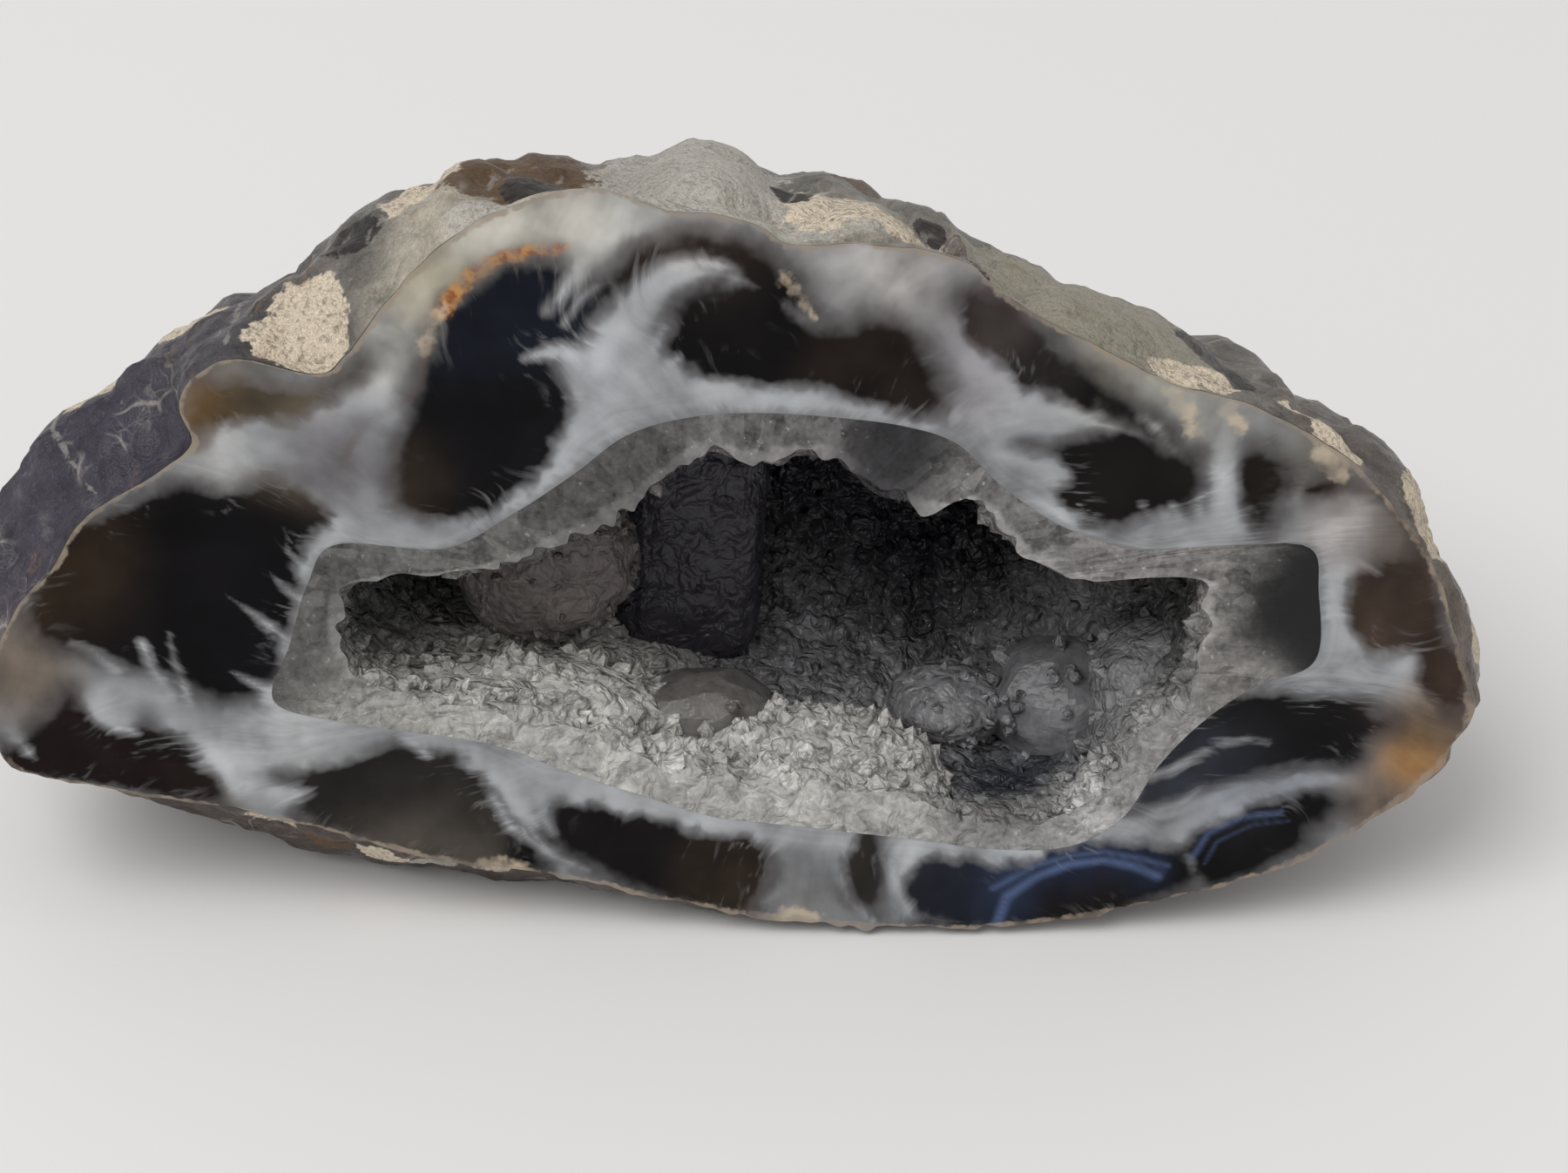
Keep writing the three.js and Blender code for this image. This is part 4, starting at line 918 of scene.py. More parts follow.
class GeodeSettings(bpy.types.PropertyGroup):
    """Sizes and colours of the stone that a user would change"""

    stone_depth: bpy.props.FloatProperty(
        name="Depth", description="From the cut face to the back of the stone", default=0.022, unit="LENGTH"
    )
    rim_depth: bpy.props.FloatProperty(
        name="Rim depth", description="Depth at which the rim ends and the rounded back begins",
        default=0.004, unit="LENGTH",
    )
    rim_curve: bpy.props.FloatProperty(
        name="Rim curve", description="Above 1, the rim leaves the cut face at a steeper angle", default=1.3
    )
    hollow_depth: bpy.props.FloatProperty(
        name="Hollow", description="From the cut face to the back of the agate's hollow",
        default=0.0166, unit="LENGTH",
    )
    druse_depth: bpy.props.FloatProperty(
        name="Crystals", description="From the cut face to the deepest crystals", default=0.0138, unit="LENGTH"
    )
    back_roundness: bpy.props.FloatProperty(
        name="Back roundness", description="Below 1, the back is fuller than an ellipse", default=0.86
    )
    hollow_roundness: bpy.props.FloatProperty(
        name="Hollow roundness", description="Below 1, the hollow is fuller than an ellipse", default=0.6
    )
    mark_across: bpy.props.FloatProperty(
        name="Mark to middle", description="From the cut face's mount across to its middle",
        default=0.026, unit="LENGTH",
    )
    columns: bpy.props.IntProperty(name="Columns", description="Columns of the stone's grid", default=560)
    rind_rows: bpy.props.IntProperty(name="Rind rows", description="Rows over the rind", default=64)
    face_rows: bpy.props.IntProperty(name="Face rows", description="Rows across the polished face", default=86)
    druse_columns: bpy.props.IntProperty(
        name="Crust columns", description="Columns of the crust's grid", default=480
    )
    druse_rows: bpy.props.IntProperty(
        name="Crust rows", description="Rows over the crust's inner side", default=82
    )
    mouth_crystals: bpy.props.IntProperty(
        name="Mouth crystals", description="Crystals round the mouth", default=420
    )
    lining_crystals: bpy.props.IntProperty(
        name="Lining crystals", description="Crystals over the lining", default=1650
    )
    blue_vein: bpy.props.FloatVectorProperty(
        name="Blue veins", description="The bluish lines at the bottom of the face",
        default=(0.105, 0.152, 0.300), subtype="COLOR",
    )
    rust_vein: bpy.props.FloatVectorProperty(
        name="Rust vein", description="The darker colour of the rust vein",
        default=(0.300, 0.085, 0.030), subtype="COLOR",
    )
    amber_vein: bpy.props.FloatVectorProperty(
        name="Amber vein", description="The lighter colour of the rust vein",
        default=(0.50, 0.27, 0.10), subtype="COLOR",
    )
    cream_vein: bpy.props.FloatVectorProperty(
        name="Cream veins", description="The cream veins of the face",
        default=(0.560, 0.470, 0.350), subtype="COLOR",
    )
    brown_vein: bpy.props.FloatVectorProperty(
        name="Brown vein", description="The brown vein of the face",
        default=(0.130, 0.100, 0.085), subtype="COLOR",
    )
    green_rind: bpy.props.FloatVectorProperty(
        name="Green rind", description="The greenish patches of the rind",
        default=(0.315, 0.293, 0.228), subtype="COLOR",
    )
    brown_rind: bpy.props.FloatVectorProperty(
        name="Brown rind", description="The brown patches of the rind",
        default=(0.105, 0.058, 0.026), subtype="COLOR",
    )
    white_rind: bpy.props.FloatVectorProperty(
        name="White rind", description="The pale patches of the rind",
        default=(0.500, 0.480, 0.430), subtype="COLOR",
    )
    cream_rind: bpy.props.FloatVectorProperty(
        name="Cream rind", description="The chalky patches of the rind",
        default=(0.800, 0.690, 0.540), subtype="COLOR",
    )
    dark_rind: bpy.props.FloatVectorProperty(
        name="Dark rind", description="The dark patches of the rind",
        default=(0.020, 0.016, 0.015), subtype="COLOR",
    )


class StageSettings(bpy.types.PropertyGroup):
    """The floor, the light and the camera"""

    floor_colour: bpy.props.FloatVectorProperty(
        name="Floor", description="Colour of the floor", default=(0.90, 0.89, 0.885), subtype="COLOR"
    )
    floor_size: bpy.props.FloatProperty(
        name="Floor size", description="Width of the floor", default=1.6, unit="LENGTH"
    )
    sky_colour: bpy.props.FloatVectorProperty(
        name="Sky colour", description="Colour of the light from all around",
        default=(1.0, 0.985, 0.975), subtype="COLOR",
    )
    sky_strength: bpy.props.FloatProperty(
        name="Sky", description="Strength of the light from all around", default=0.54
    )
    lamp_power: bpy.props.FloatProperty(
        name="Lamp", description="Power of the large lamp overhead", default=2.9
    )
    lamp_size: bpy.props.FloatProperty(
        name="Lamp size", description="Width of the lamp", default=0.5, unit="LENGTH"
    )
    lamp_place: bpy.props.FloatVectorProperty(
        name="Lamp place", description="Middle of the lamp",
        default=(-0.30, -0.32, 0.66), subtype="TRANSLATION",
    )
    elevation: bpy.props.FloatProperty(
        name="Elevation", description="How far the camera looks down", default=0.6108652, subtype="ANGLE"
    )
    distance: bpy.props.FloatProperty(
        name="Distance", description="From the camera to the face's middle, along its axis",
        default=0.165, unit="LENGTH",
    )
    focal_length: bpy.props.FloatProperty(
        name="Lens", description="Focal length in millimetres", default=89.1
    )
    aim: bpy.props.FloatVectorProperty(
        name="Aim", description="The face's middle in the picture, right and down, over the focal length",
        default=(-0.011223, 0.010438), size=2,
    )


def hollow_radius(angle, depth, drawn_in):
    """Half width of the hollow: the outline of the quartz times an oval's fall to the back, with a power below
    a half so that the sides are steep. drawn_in narrows it all over."""
    geode = bpy.context.scene.geode
    fall = 1 - (depth / (geode.hollow_depth / MM - drawn_in)) ** 2
    return (outline_radius(QUARTZ_EDGE, angle) - drawn_in) * np.maximum(fall, 0) ** (geode.hollow_roundness / 2)


def wall_rings(angle):
    """The hollow's wall from its back to the cut face: a quarter turn in depth."""
    geode = bpy.context.scene.geode
    turn = (np.linspace(LAST_RING, 0.0, WALL_ROWS, endpoint=False) * np.pi / 2)[:, None]
    depth = geode.hollow_depth / MM * np.sin(turn)
    return polar_points(angle, hollow_radius(angle, depth, 0), depth)


def face_rings(angle):
    """The polished face: straight from the edge of the quartz out to the ragged rim."""
    across = np.linspace(0, 1, bpy.context.scene.geode.face_rows)[:, None]
    inner = outline_radius(QUARTZ_EDGE, angle)
    return polar_points(angle, inner + (rim_radius(angle) - inner) * across, 0 * across)


def rind_rings(angle):
    """The rind from the cut face to the back, before it is lifted: first the rim, and then the part behind."""
    rim = np.linspace(0, 1, RIM_ROWS + 1)[1:]
    behind = 1 + np.linspace(0, LAST_RING, bpy.context.scene.geode.rind_rows - RIM_ROWS)[1:]
    return rind_point(angle, np.concatenate([rim, behind])[:, None])


def stone_values(face, rind, crease):
    """Numbers and colours on the points of the polished face and of the rind, each as what it is elsewhere and
    its values on that part."""
    geode = bpy.context.scene.geode
    flat = face[:, :2]
    edge = np.tile(ring_angles(geode.columns), geode.face_rows)
    rise = np.hypot(*flat.T) - outline_radius(QUARTZ_EDGE, edge)
    on_face = {key: (-2.0 if array.ndim == 1 else 0.02, array) for key, array in face_pattern(flat).items()}
    on_face["rise"] = (0, rise)
    # The upper side of the face, where the face next to the crust gets painted shade.
    on_face["shaded root"] = (0, smooth_step(flat[:, 1], -4.5, 0.5))
    on_face["growth"] = (0, growth_coordinates(flat, edge, rise))
    on_rind = {"crease": (0, crease), "rind_tint": (0, tinted_in_space(rind, RIND_TINTS))}
    for kind, cover in rind_covers(rind).items():
        on_rind[f"{kind} patch"] = (0, cover)
    return on_face, on_rind


class GEODE_OT_stone(bpy.types.Operator):
    """Build the agate stone: rind, polished face and the wall of the hollow, as one closed surface"""

    bl_idname = "geode.stone"
    bl_label = "Agate stone"

    def execute(self, context):
        columns = context.scene.geode.columns
        angle = ring_angles(columns)[None, :]
        wall, face, smooth_rind = wall_rings(angle), face_rings(angle), rind_rings(angle)
        flat_rind = smooth_rind.reshape(-1, 3)
        lift, crease = rind_relief(flat_rind)
        rind = (flat_rind + outward(flat_rind) * lift[:, None]).reshape(smooth_rind.shape)
        rings = np.concatenate([wall, face, rind])
        vertices, quads, fans = closed_rings(rings)
        face_part = slice(len(wall) * columns, (len(wall) + len(face)) * columns)
        rind_part = slice(face_part.stop, len(rings) * columns)
        values = {}
        for part, listed in zip((face_part, rind_part), stone_values(vertices[face_part], flat_rind, crease)):
            for key, (elsewhere, array) in listed.items():
                values[key] = np.full((len(vertices), *array.shape[1:]), float(elsewhere))
                values[key][part] = array
        row_of_quad = np.repeat(np.arange(len(rings) - 1), columns)
        row = np.concatenate([row_of_quad, np.zeros(columns), np.full(columns, len(rings))])
        rough = row >= len(wall) + len(face) - 1
        faces = (quads[:, ::-1], fans[:, ::-1])
        materials = (polished_agate(), rough_rind())
        piece = make_object("geode_stone", stood_up(vertices), faces, materials, values, rough, rough)
        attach(piece, "root")
        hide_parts("agate_stone")
        return {"FINISHED"}


def growth_coordinates(flat, edge, rise):
    """Coordinates in which milky fibres run straight: the point of the crust's edge from which a fibre grows,
    and how far it has grown. The point lies at the given angle, shifted by a lean that is blended from listed
    places and grows with the distance."""
    total = np.full(len(flat), 0.3)
    lean = np.zeros(len(flat))
    for x, y, reach, amount in FIBRE_LEANS:
        weight = np.exp(-((flat - (x, y)) ** 2).sum(axis=1) / reach**2)
        total += weight
        lean += weight * amount
    root = edge + lean / total * rise / (outline_radius(QUARTZ_EDGE, edge) + rise)
    return polar_points(root, outline_radius(QUARTZ_EDGE, root), -rise)


def on_rind(across, up, depth):
    """The smooth rind's points on the same ray and at the same depth as the given places."""
    geode = bpy.context.scene.geode
    rim_depth, deepest = geode.rim_depth / MM, geode.stone_depth / MM
    turn = np.arcsin(np.clip((depth - rim_depth) / (deepest - rim_depth), 0, 1))
    along = np.where(depth < rim_depth, depth / rim_depth, 1 + turn / (np.pi / 2))
    return rind_point(np.arctan2(up, across), along)


def rind_covers(points):
    """How much of each kind of patch covers each point of the rind, from 0 to 1: a smooth bump around each
    listed place and around seeded places at the back."""
    covers = {kind: np.zeros(len(points)) for kind in RIND_KINDS}
    places = on_rind(*np.array([patch[1:4] for patch in RIND_PATCHES]).T)
    patches = [(patch[0], *place, patch[4]) for patch, place in zip(RIND_PATCHES, places)]
    index = np.arange(BACK_PATCHES)
    middle = rind_point(index * GOLDEN_TURN * 1.7, 1.42 + 0.55 * chance(index, 41))
    for i, (x, y, z) in enumerate(middle):
        kind = ("cream", "white", "brown", "green", "dark", "cream")[i % 6]
        patches.append((kind, x, y, z, 1.6 + 2.6 * chance(i, 42)))
    for kind, x, y, z, reach in patches:
        share = ((points - (x, y, z)) ** 2).sum(axis=1) / reach**2
        covers[kind] = np.maximum(covers[kind], np.clip(1.15 - share * 0.75, 0, 1))
    return covers


def druse_surface(angle, share):
    """The inner side of the lining. share runs from 0 at the mouth to 1 at the back: a turn through a quarter
    circle sinks it, and its width falls by a power of the cosine, swells a little behind the mouth and is kept
    a least thickness inside the agate."""
    geode = bpy.context.scene.geode
    turn = share * np.pi / 2
    depth = geode.druse_depth / MM * np.sin(turn)
    mouth = outline_radius(MOUTH_EDGE, angle)
    wide = mouth * np.cos(turn) ** geode.hollow_roundness * (1 + 0.06 * np.sin(2 * turn))
    thickest = hollow_radius(angle, depth, 0.3) - 1.1
    return polar_points(angle, np.minimum(wide, thickest), depth)


def inward(points):
    """From a point of the lining, the way that a crystal grows: towards a share of its own place."""
    step = points * np.array(HEART) - points
    return step / np.linalg.norm(step, axis=-1, keepdims=True)


def lining_shell(columns, rows):
    """The lining as one closed surface: rings up its outer side, in over the cut band, and down its inner side.
    The inner side strays by noise, and the edge of the cut band is jagged by crystals cut through."""
    geode = bpy.context.scene.geode
    angle = ring_angles(columns)[None, :]
    turn = (np.linspace(LAST_RING, 0.0, OUTER_ROWS) * np.pi / 2)[:, None]
    depth = (geode.hollow_depth / MM - CRUST_GAP) * np.sin(turn)
    outside = polar_points(angle, hollow_radius(angle, depth, CRUST_GAP), depth)
    share = np.linspace(0, LAST_RING, rows)[:, None]
    inside = druse_surface(angle, share)
    flat = inside.reshape(-1, 3)
    feet, _ = crystal_spots(58, LINING_CAPS, 0.0, 0.99)
    index = np.arange(LINING_CAPS)
    caps = (feet, 0.5 + 0.9 * chance(index, 50), 0.15 + 0.35 * chance(index, 51), 1.0)
    lift = highest_caps(flat, caps)[0] + 0.25 * noise(flat, 1.9, 52) + 0.06 * noise(flat, 0.3, 53)
    inside = (flat + inward(flat) * (lift * smooth_step(-flat[:, 2], 0, 0.5))[:, None]).reshape(inside.shape)
    jag = 0.36 * noise(inside[0], 1.1, 55) + 0.30 * noise(inside[0], 0.5, 56)
    inside[0] -= inward(inside[0]) * (1, 1, 0) * jag[:, None]
    inside[..., 2] = np.minimum(inside[..., 2], 0)
    across = np.linspace(0, 1, BAND_ROWS + 2)[1:-1, None, None]
    band = outside[-1] + (inside[0] - outside[-1]) * across
    return np.concatenate([outside, band, inside])


def kept_inside(points):
    """Points drawn in towards the middle of the hollow where they would stand out of the lining."""
    depth = np.clip(-points[:, 2], 0, CRYSTAL_LIMIT)
    edge = np.arctan2(points[:, 1], points[:, 0])
    most = hollow_radius(edge, depth, 0.05)
    share = np.minimum(1, most / np.maximum(np.hypot(points[:, 0], points[:, 1]), 1e-6))
    return np.stack([points[:, 0] * share, points[:, 1] * share, -depth], axis=-1)


def squared(ball, square):
    """A ball made blocky: each coordinate's size raised to a power below 1."""
    return np.sign(ball) * np.abs(ball) ** square


def spun(points, degrees):
    """Points turned about the axis out of the face."""
    a = np.radians(degrees)
    return points @ np.array([[np.cos(a), np.sin(a), 0], [-np.sin(a), np.cos(a), 0], [0, 0, 1]])


def seeded_ball(index, stream):
    """Seeded points spread evenly over a ball."""
    height = 2 * chance(index, stream) - 1
    turn = 2 * np.pi * chance(index, stream + 1)
    flat = np.sqrt(1 - height**2)
    return np.stack([flat * np.cos(turn), flat * np.sin(turn), height], axis=-1)


def facet_cut(ball, stream):
    """How far a ball's points lie from its middle once seeded planes have cut it: in each direction the
    nearest plane, which lies at its distance from the middle divided by the cosine of the angle to it."""
    index = np.arange(LUMP_FACETS)
    far = 0.88 + 0.12 * chance(index, stream + 3)
    facing = np.maximum(ball @ seeded_ball(index, stream).T, 0.05)
    return np.minimum((far / facing).min(axis=-1, keepdims=True), 1.0)


def lump_shells():
    """The lumps as closed balls, squashed and studded: a grid of longitude and latitude each, about an upright
    axis, lifted by noise and by the highest of seeded round caps. Smooth lumps are cut to broad flat facets
    instead."""
    longitude = 2 * np.pi * np.arange(LUMP_SIDES) / LUMP_SIDES
    latitude = np.linspace(0.03, 0.97, LUMP_RINGS)[:, None] * np.pi
    parts = (np.sin(latitude) * np.cos(longitude), np.cos(latitude) + 0 * longitude,
             np.sin(latitude) * np.sin(longitude))
    ball = np.stack(parts, axis=-1)
    shells = []
    for number, (middle, half, turn, square, _, _, _, smooth) in enumerate(DRUSE_LUMPS):
        centre = np.array(middle) * (1, 1, -1)
        faceted = 1 + (facet_cut(ball, 90 + 5 * number) - 1) * smooth_step(smooth, 0.6, 0.8)
        flat = (spun(squared(ball, square) * faceted * half, turn) + centre).reshape(-1, 3)
        index = np.arange(LUMP_CAPS) + number * LUMP_CAPS
        middles = spun(squared(seeded_ball(index, 64), square) * half, turn) + centre
        caps = (middles, 0.5 + 0.8 * chance(index, 66), 0.08 + 0.20 * chance(index, 67), 1.0)
        lift = (highest_caps(flat, caps)[0] + 0.12 * noise(flat, 1.5, 61)) * (1 - smooth_step(smooth, 0.6, 0.9))
        out = spun(ball / half, turn).reshape(-1, 3)
        out /= np.linalg.norm(out, axis=1, keepdims=True)
        shells.append((flat + out * lift[:, None]).reshape(ball.shape))
    return shells


def crystal_spots(stream, count, near, far, lowered=0.0):
    """Seeded spots on the lining between two shares of the way to the back, and the way each crystal grows.
    Of those on the upper side, the share given as lowered is moved to the lower side."""
    index = np.arange(count)
    phase = 2 * np.pi * chance(index, stream) - np.pi
    phase = np.where((phase > 0) & (chance(index, stream + 2) < lowered), -phase, phase)
    angle = np.arctan2(SQUEEZE * np.sin(phase), np.cos(phase))
    share = near + (far - near) * chance(index, stream + 1)
    foot = druse_surface(angle, share)
    return foot, inward(foot)


def lump_spots(stream):
    """Seeded spots on the lumps, with the way out of each as the way of growth, and the radius and colour."""
    feet, ways, sizes, colours = [], [], [], []
    for number, (middle, half, turn, square, colour, count, size, _) in enumerate(DRUSE_LUMPS):
        ball = seeded_ball(np.arange(count) + number * 300, stream)
        feet.append(spun(squared(ball, square) * half, turn) + np.array(middle) * (1, 1, -1))
        way = spun(ball / half, turn)
        ways.append(way / np.linalg.norm(way, axis=1, keepdims=True))
        sizes.append(np.full(count, size))
        colours.append(np.tile(colour, (count, 1)))
    return tuple(np.concatenate(parts) for parts in (feet, ways, sizes, colours))


def crystal_shells(feet, ways, radius, stream, lean=0.8):
    """Six-sided prisms with six-sided tips, one at each foot: corners round the axis at the foot and at the
    shoulder, and a tip. Each leans by a seeded amount and is turned by a seeded angle."""
    index = np.arange(len(feet))
    stray = np.stack([chance(index, stream + i) - 0.5 for i in range(3)], axis=-1)
    axis = ways + stray * lean
    axis /= np.linalg.norm(axis, axis=1, keepdims=True)
    side = np.cross(axis, stray + (0.01, 0.02, 0.9))
    side /= np.linalg.norm(side, axis=1, keepdims=True)
    other = np.cross(axis, side)
    phase = 2 * np.pi * (np.arange(6) / 6 + chance(index, stream + 3)[:, None])
    uneven = 0.85 + 0.3 * chance(index[:, None] * 7 + np.arange(6), stream + 4)
    around = np.cos(phase)[..., None] * side[:, None] + np.sin(phase)[..., None] * other[:, None]
    around *= (uneven * radius[:, None])[..., None]
    tall = radius * (0.35 + 0.5 * chance(index, stream + 5))
    low = feet[:, None] + around - (axis * 0.8 * radius[:, None])[:, None]
    high = feet[:, None] + around + (axis * tall[:, None])[:, None]
    tip = feet + axis * (tall + radius * (0.85 + 0.4 * chance(index, stream + 6)))[:, None]
    points = np.concatenate([low, high, tip[:, None]], axis=1)
    beside = (np.arange(6) + 1) % 6
    sides = np.stack([np.arange(6), beside, beside + 6, np.arange(6) + 6], axis=-1)
    tips = np.stack([np.arange(6) + 6, beside + 6, np.full(6, 12)], axis=-1)
    foot = np.array([[0, 5, 1], [1, 5, 4], [1, 4, 2], [2, 4, 3]])
    return points, sides, np.concatenate([tips, foot])


def shell_volumes(corners, sides, others):
    """The volume inside each crystal: a sixth of the triple products of the corners of its triangles, taken
    from its first corner. A crystal that was squashed inside out has a volume below zero."""
    triangles = np.concatenate([sides[:, :3], sides[:, [0, 2, 3]], others])
    ray = corners[:, triangles] - corners[:, None, None, 0]
    return (ray[:, :, 0] * np.cross(ray[:, :, 1], ray[:, :, 2])).sum(axis=(1, 2)) / 6


def quartz_material(name, is_cut):
    """Milky to clear grey quartz: partly see-through, set with small crystal faces by cells that raise the
    surface like pyramids and differ in brightness, which is painted light, as if each face were lit at its own
    angle, with painted glints on the smaller faces. Where the saw cut it, it is flatter, mottled and faintly
    columnar, with painted glints, and palest at its crystal edge."""
    graph = Graph(name)
    place = graph.place()
    mottle = graph.noise(place, 1.5, 3.0) - 0.5
    grain = graph.noise(place, 4.5, 2.0) - 0.5
    warp = graph.stretched(graph.noise(place, 0.8, 1.0, 1), (1.4, 1.4, 1.4))
    bent = graph.added(place, warp)
    large = graph.cells(bent, 1.25, "F1", 0, "MANHATTAN")
    small = graph.cells(bent, 2.9, "F1", 0, "MANHATTAN")
    # Painted light: a seeded brightness on each crystal face, as if lit at its own angle, and painted glints on
    # the small faces.
    lit = graph.node("ShaderNodeSeparateColor", {}, {0: large.beside(1)})
    glint = graph.node("ShaderNodeSeparateColor", {}, {0: small.beside(1)})
    smooth_quartz = graph.number("smooth")
    strength = 0.72 + (lit * 0.34 + glint * 0.22) * (1 - smooth_quartz * 0.6) + mottle * 0.7 + grain * 0.3
    raised = 1 - smooth_quartz * 0.92
    if is_cut:
        growth = graph.colour("growth")
        band = graph.number("band")
        lip = (graph.number("lip") + mottle * 0.8).step(0.3, 0.8)
        columnar = graph.noise(graph.stretched(growth, (2.0, 2.0, 0.6)), 1.0, 3.0) - 0.5
        column = graph.added(graph.stretched(growth, (1.5, 1.5, 0.8)), graph.stretched(warp, (0.6, 0.6, 0.6)))
        cut = graph.node("ShaderNodeSeparateColor", {}, {0: graph.cells(column, 1.0, "F1", 1)})
        # Painted glints: small bright specks on the cut band.
        painted_glint = graph.noise(place, 3.4, 2.0).step(0.66, 0.74)
        cut_light = 0.62 + mottle * 1.5 + grain * 1.2 + columnar * 0.6 + cut * 0.70 + painted_glint * 1.3 + lip * 0.8
        strength = band * cut_light + (1 - band) * strength
        raised = raised * (1 - band)
    colour = graph.shaded(graph.colour("tint"), strength.most(0.15))
    height = (0 - large * 0.30 - small * 0.12) * raised
    return graph.finish(
        {
            "Base Color": colour,
            "Roughness": 0.30,
            "IOR": 1.544,
            "Transmission Weight": 0.15,
            "Specular IOR Level": 0.30,
            "Normal": graph.bump(height, 0.001, 1.0),
        }
    )


class Shells:
    """Closed shells collected into one mesh, with a colour and a smoothness on each point."""

    def __init__(self):
        self.points, self.quads, self.triangles, self.tints, self.smooths = [], [], [], [], []
        self.count = 0

    def add(self, vertices, quads, triangles, tint, smooth=0.0):
        self.points.append(vertices)
        self.quads.append(quads + self.count)
        self.triangles.append(triangles + self.count)
        self.tints.append(np.broadcast_to(tint, vertices.shape))
        self.smooths.append(np.full(len(vertices), smooth))
        self.count += len(vertices)


def add_crystals(shells, number, feet, ways, size, tint):
    """Add one crystal at each foot, kept inside the lining. Sizes and shades vary by seeded amounts."""
    index = np.arange(len(feet))
    stream = 80 + 10 * number
    radius = size * (0.6 + 0.6 * chance(index, stream + 8))
    corners, sides, others = crystal_shells(feet, ways, radius, stream)
    corners[..., 2] = np.minimum(corners[..., 2], -0.02)
    corners = kept_inside(corners.reshape(-1, 3)).reshape(corners.shape)
    whole = shell_volumes(corners, sides, others) > 0
    shade = 0.78 + 0.50 * chance(index, stream + 9)
    each = corners.shape[1]
    first = np.arange(whole.sum())[:, None, None] * each
    colour = np.repeat((tint * shade[:, None])[whole], each, axis=0)
    sides, others = (sides + first).reshape(-1, 4), (others + first).reshape(-1, 3)
    shells.add(corners[whole].reshape(-1, 3), sides, others, colour)


def druse_values(vertices, shells):
    """Numbers and colours on the crust's points: tint and smoothness, and on the cut band how far it is cut
    flat, the way of growth and the pale lip."""
    columns = bpy.context.scene.geode.druse_columns
    edge = np.arctan2(vertices[:, 1], vertices[:, 0])
    far = np.hypot(vertices[:, 0], vertices[:, 1])
    radius = outline_radius(QUARTZ_EDGE, edge)
    band = np.zeros(len(vertices))
    band[(OUTER_ROWS - 1) * columns : (OUTER_ROWS + BAND_ROWS + 1) * columns] = 1
    upper = smooth_step(vertices[:, 1], -4.5, 0.5)
    return {
        "tint": np.concatenate(shells.tints),
        "band": band * (0.45 + 0.55 * upper),
        "growth": polar_points(edge, radius, far - radius),
        "lip": band * upper * (1 - smooth_step(far - outline_radius(MOUTH_EDGE, edge), 0, 1.0)),
        "smooth": np.concatenate(shells.smooths),
    }


class GEODE_OT_druse(bpy.types.Operator):
    """Build the quartz crust: the lining, its lumps and its crystals, as closed shells in one piece"""

    bl_idname = "geode.druse"
    bl_label = "Quartz crust"

    def execute(self, context):
        geode = context.scene.geode
        shells = Shells()
        vertices, four, three = closed_rings(lining_shell(geode.druse_columns, geode.druse_rows))
        shells.add(vertices, four, three, tinted_in_space(vertices, QUARTZ_TINTS_AND_SHADE))
        for lump, listed in zip(lump_shells(), DRUSE_LUMPS):
            vertices, four, three = closed_rings(lump)
            shells.add(kept_inside(vertices), four, three, listed[4], listed[7])
        for number, (count, near, far) in enumerate(
            ((geode.mouth_crystals, 0.015, 0.10), (geode.lining_crystals, 0.03, 0.985))
        ):
            stream = 71 + 2 * number
            feet, ways = crystal_spots(stream, count, near, far, 0.65)
            size = 0.22 + 0.30 * chance(np.arange(count), stream + 8)
            add_crystals(shells, number, feet, ways, size, tinted_in_space(feet, QUARTZ_TINTS_AND_SHADE) * 1.15)
        add_crystals(shells, 2, *lump_spots(75))
        vertices = np.concatenate(shells.points)
        faces = (np.concatenate(shells.quads), np.concatenate(shells.triangles))
        flat = np.zeros(len(faces[0]) + len(faces[1]), bool)
        row = np.arange(len(flat)) // geode.druse_columns
        on_band = (row >= OUTER_ROWS - 1) & (row < OUTER_ROWS + BAND_ROWS)
        materials = (quartz_material("druse quartz", False), quartz_material("cut quartz", True))
        values = druse_values(vertices, shells)
        piece = make_object("druse", stood_up(vertices), faces, materials, values, flat, on_band)
        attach(piece, "root")
        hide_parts("quartz_crust")
        return {"FINISHED"}


def pale_board(colour):
    """The floor's plain matt surface."""
    inputs = {"Base Color": (*colour, 1), "Roughness": 0.8, "Specular IOR Level": 0.2}
    return Graph("pale board").finish(inputs)


def aimed_camera(stage):
    """The camera, looking down at the elevation, placed so that the middle of the face is seen at the aim."""
    camera = bpy.data.objects.new("camera", bpy.data.cameras.new("camera"))
    camera.data.lens = stage.focal_length
    camera.data.sensor_width = 36
    ahead = np.array([0, np.cos(stage.elevation), -np.sin(stage.elevation)])
    above = np.array([0, np.sin(stage.elevation), np.cos(stage.elevation)])
    _, middle = placed()
    sight = ahead + np.array([stage.aim[0], 0, 0]) - above * stage.aim[1]
    camera.location = middle - stage.distance * sight
    camera.rotation_euler = (np.pi / 2 - stage.elevation, 0, 0)
    return camera


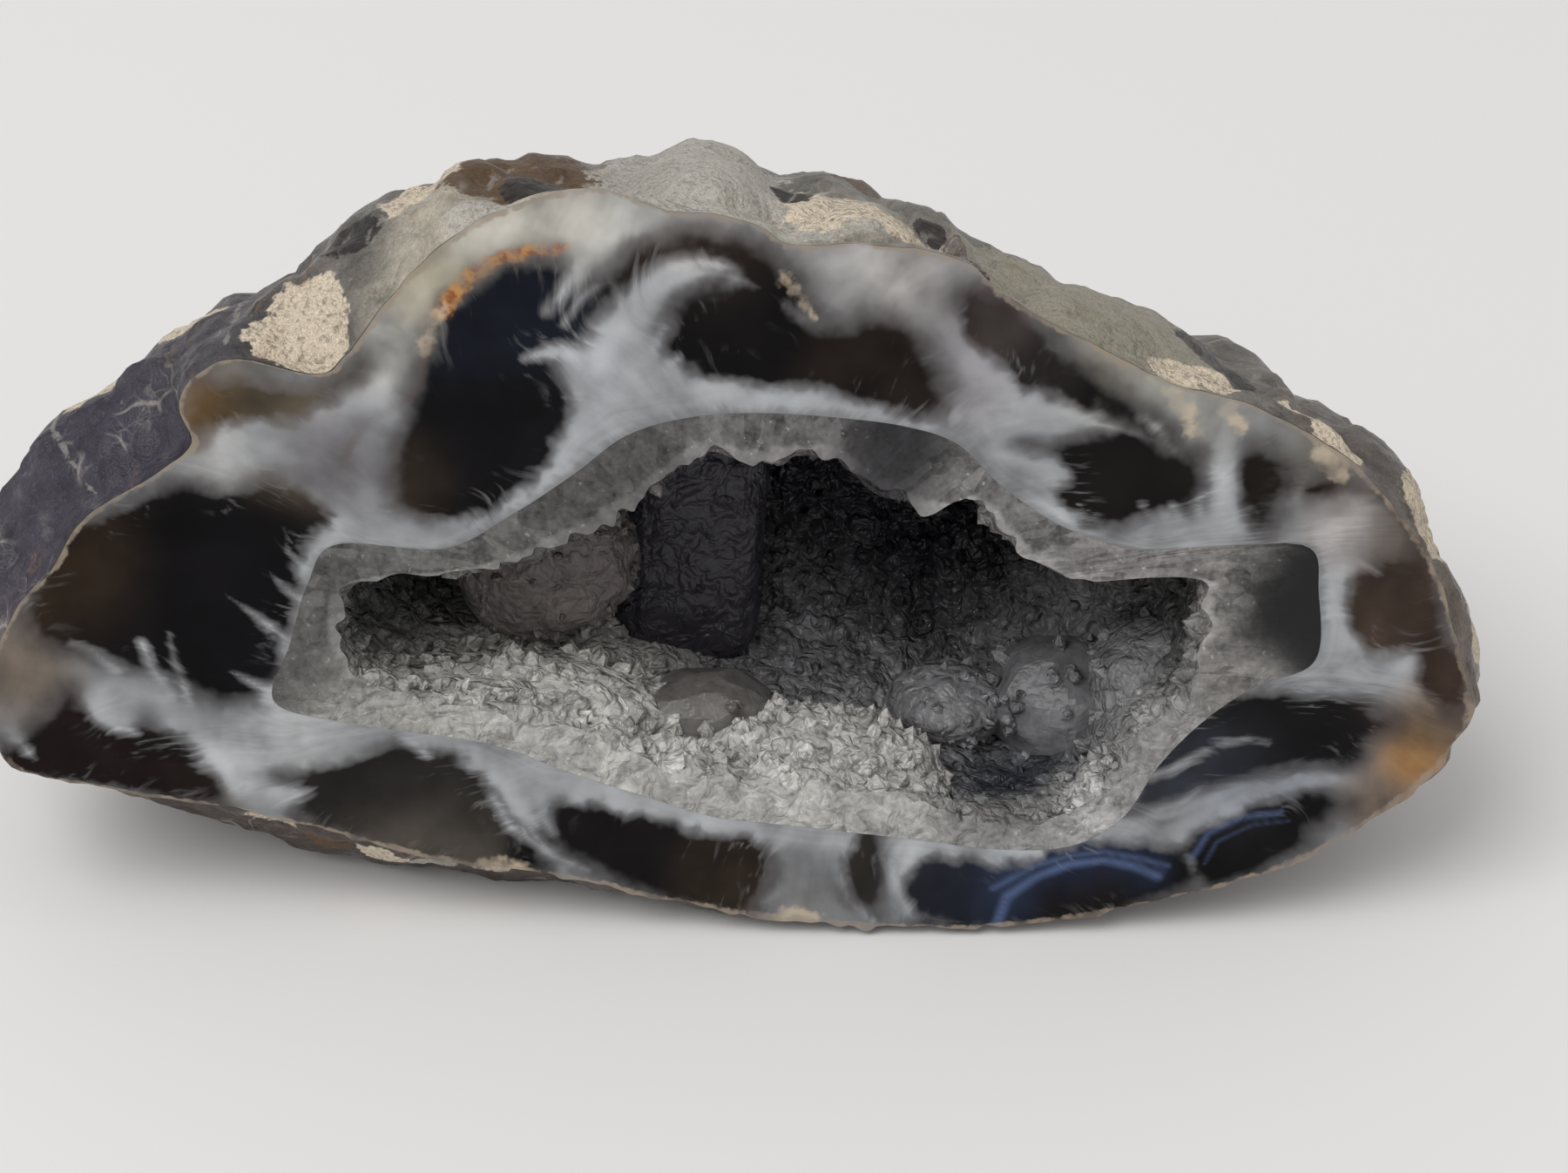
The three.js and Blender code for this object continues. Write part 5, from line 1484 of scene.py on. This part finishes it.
class GEODE_OT_stage(bpy.types.Operator):
    """Set the floor, the light and the camera"""

    bl_idname = "geode.stage"
    bl_label = "Stage"

    def execute(self, context):
        stage = context.scene.geode_stage
        half = stage.floor_size / 2
        corners = np.array([(-half, -half, 0), (half, -half, 0), (half, half, 0), (-half, half, 0)])
        floor = make_object("floor", corners, (np.array([[0, 1, 2, 3]]),), (pale_board(stage.floor_colour),))
        world = bpy.data.worlds.new("soft sky")
        context.scene.world = world
        world.use_nodes = True
        sky = world.node_tree.nodes["Background"].inputs
        sky["Strength"].default_value = stage.sky_strength
        sky["Color"].default_value = (*stage.sky_colour, 1)
        lamp = bpy.data.objects.new("lamp", bpy.data.lights.new("lamp", "AREA"))
        lamp.data.energy = stage.lamp_power
        lamp.data.size = stage.lamp_size
        lamp.location = stage.lamp_place
        lamp.rotation_euler = (-lamp.location).to_track_quat("-Z", "Y").to_euler()
        context.scene.collection.objects.link(lamp)
        context.scene.camera = aimed_camera(stage)
        context.scene.collection.objects.link(context.scene.camera)
        context.scene.view_settings.view_transform = "Standard"
        context.scene.cycles.use_denoising = True
        return {"FINISHED"}


class GEODE_PT_panel(bpy.types.Panel):
    """Sizes and builders of the geode"""

    bl_idname = "GEODE_PT_panel"
    bl_label = "Geode"
    bl_space_type = "VIEW_3D"
    bl_region_type = "UI"
    bl_category = "Geode"

    def draw(self, context):
        for settings in (context.scene.geode, context.scene.geode_stage):
            for key in settings.__annotations__:
                self.layout.prop(settings, key)
        for builder in (GEODE_OT_stone, GEODE_OT_druse, GEODE_OT_stage):
            self.layout.operator(builder.bl_idname)


CLASSES = (GeodeSettings, StageSettings, GEODE_OT_stone, GEODE_OT_druse, GEODE_OT_stage, GEODE_PT_panel)


def register():
    for part in CLASSES:
        bpy.utils.register_class(part)
    bpy.types.Scene.geode = bpy.props.PointerProperty(type=GeodeSettings)
    bpy.types.Scene.geode_stage = bpy.props.PointerProperty(type=StageSettings)


def unregister():
    del bpy.types.Scene.geode_stage
    del bpy.types.Scene.geode
    for part in reversed(CLASSES):
        bpy.utils.unregister_class(part)


def main():
    register()
    bpy.ops.geode.stone()
    bpy.ops.geode.druse()
    bpy.ops.geode.stage()


if __name__ == "__main__":
    main()
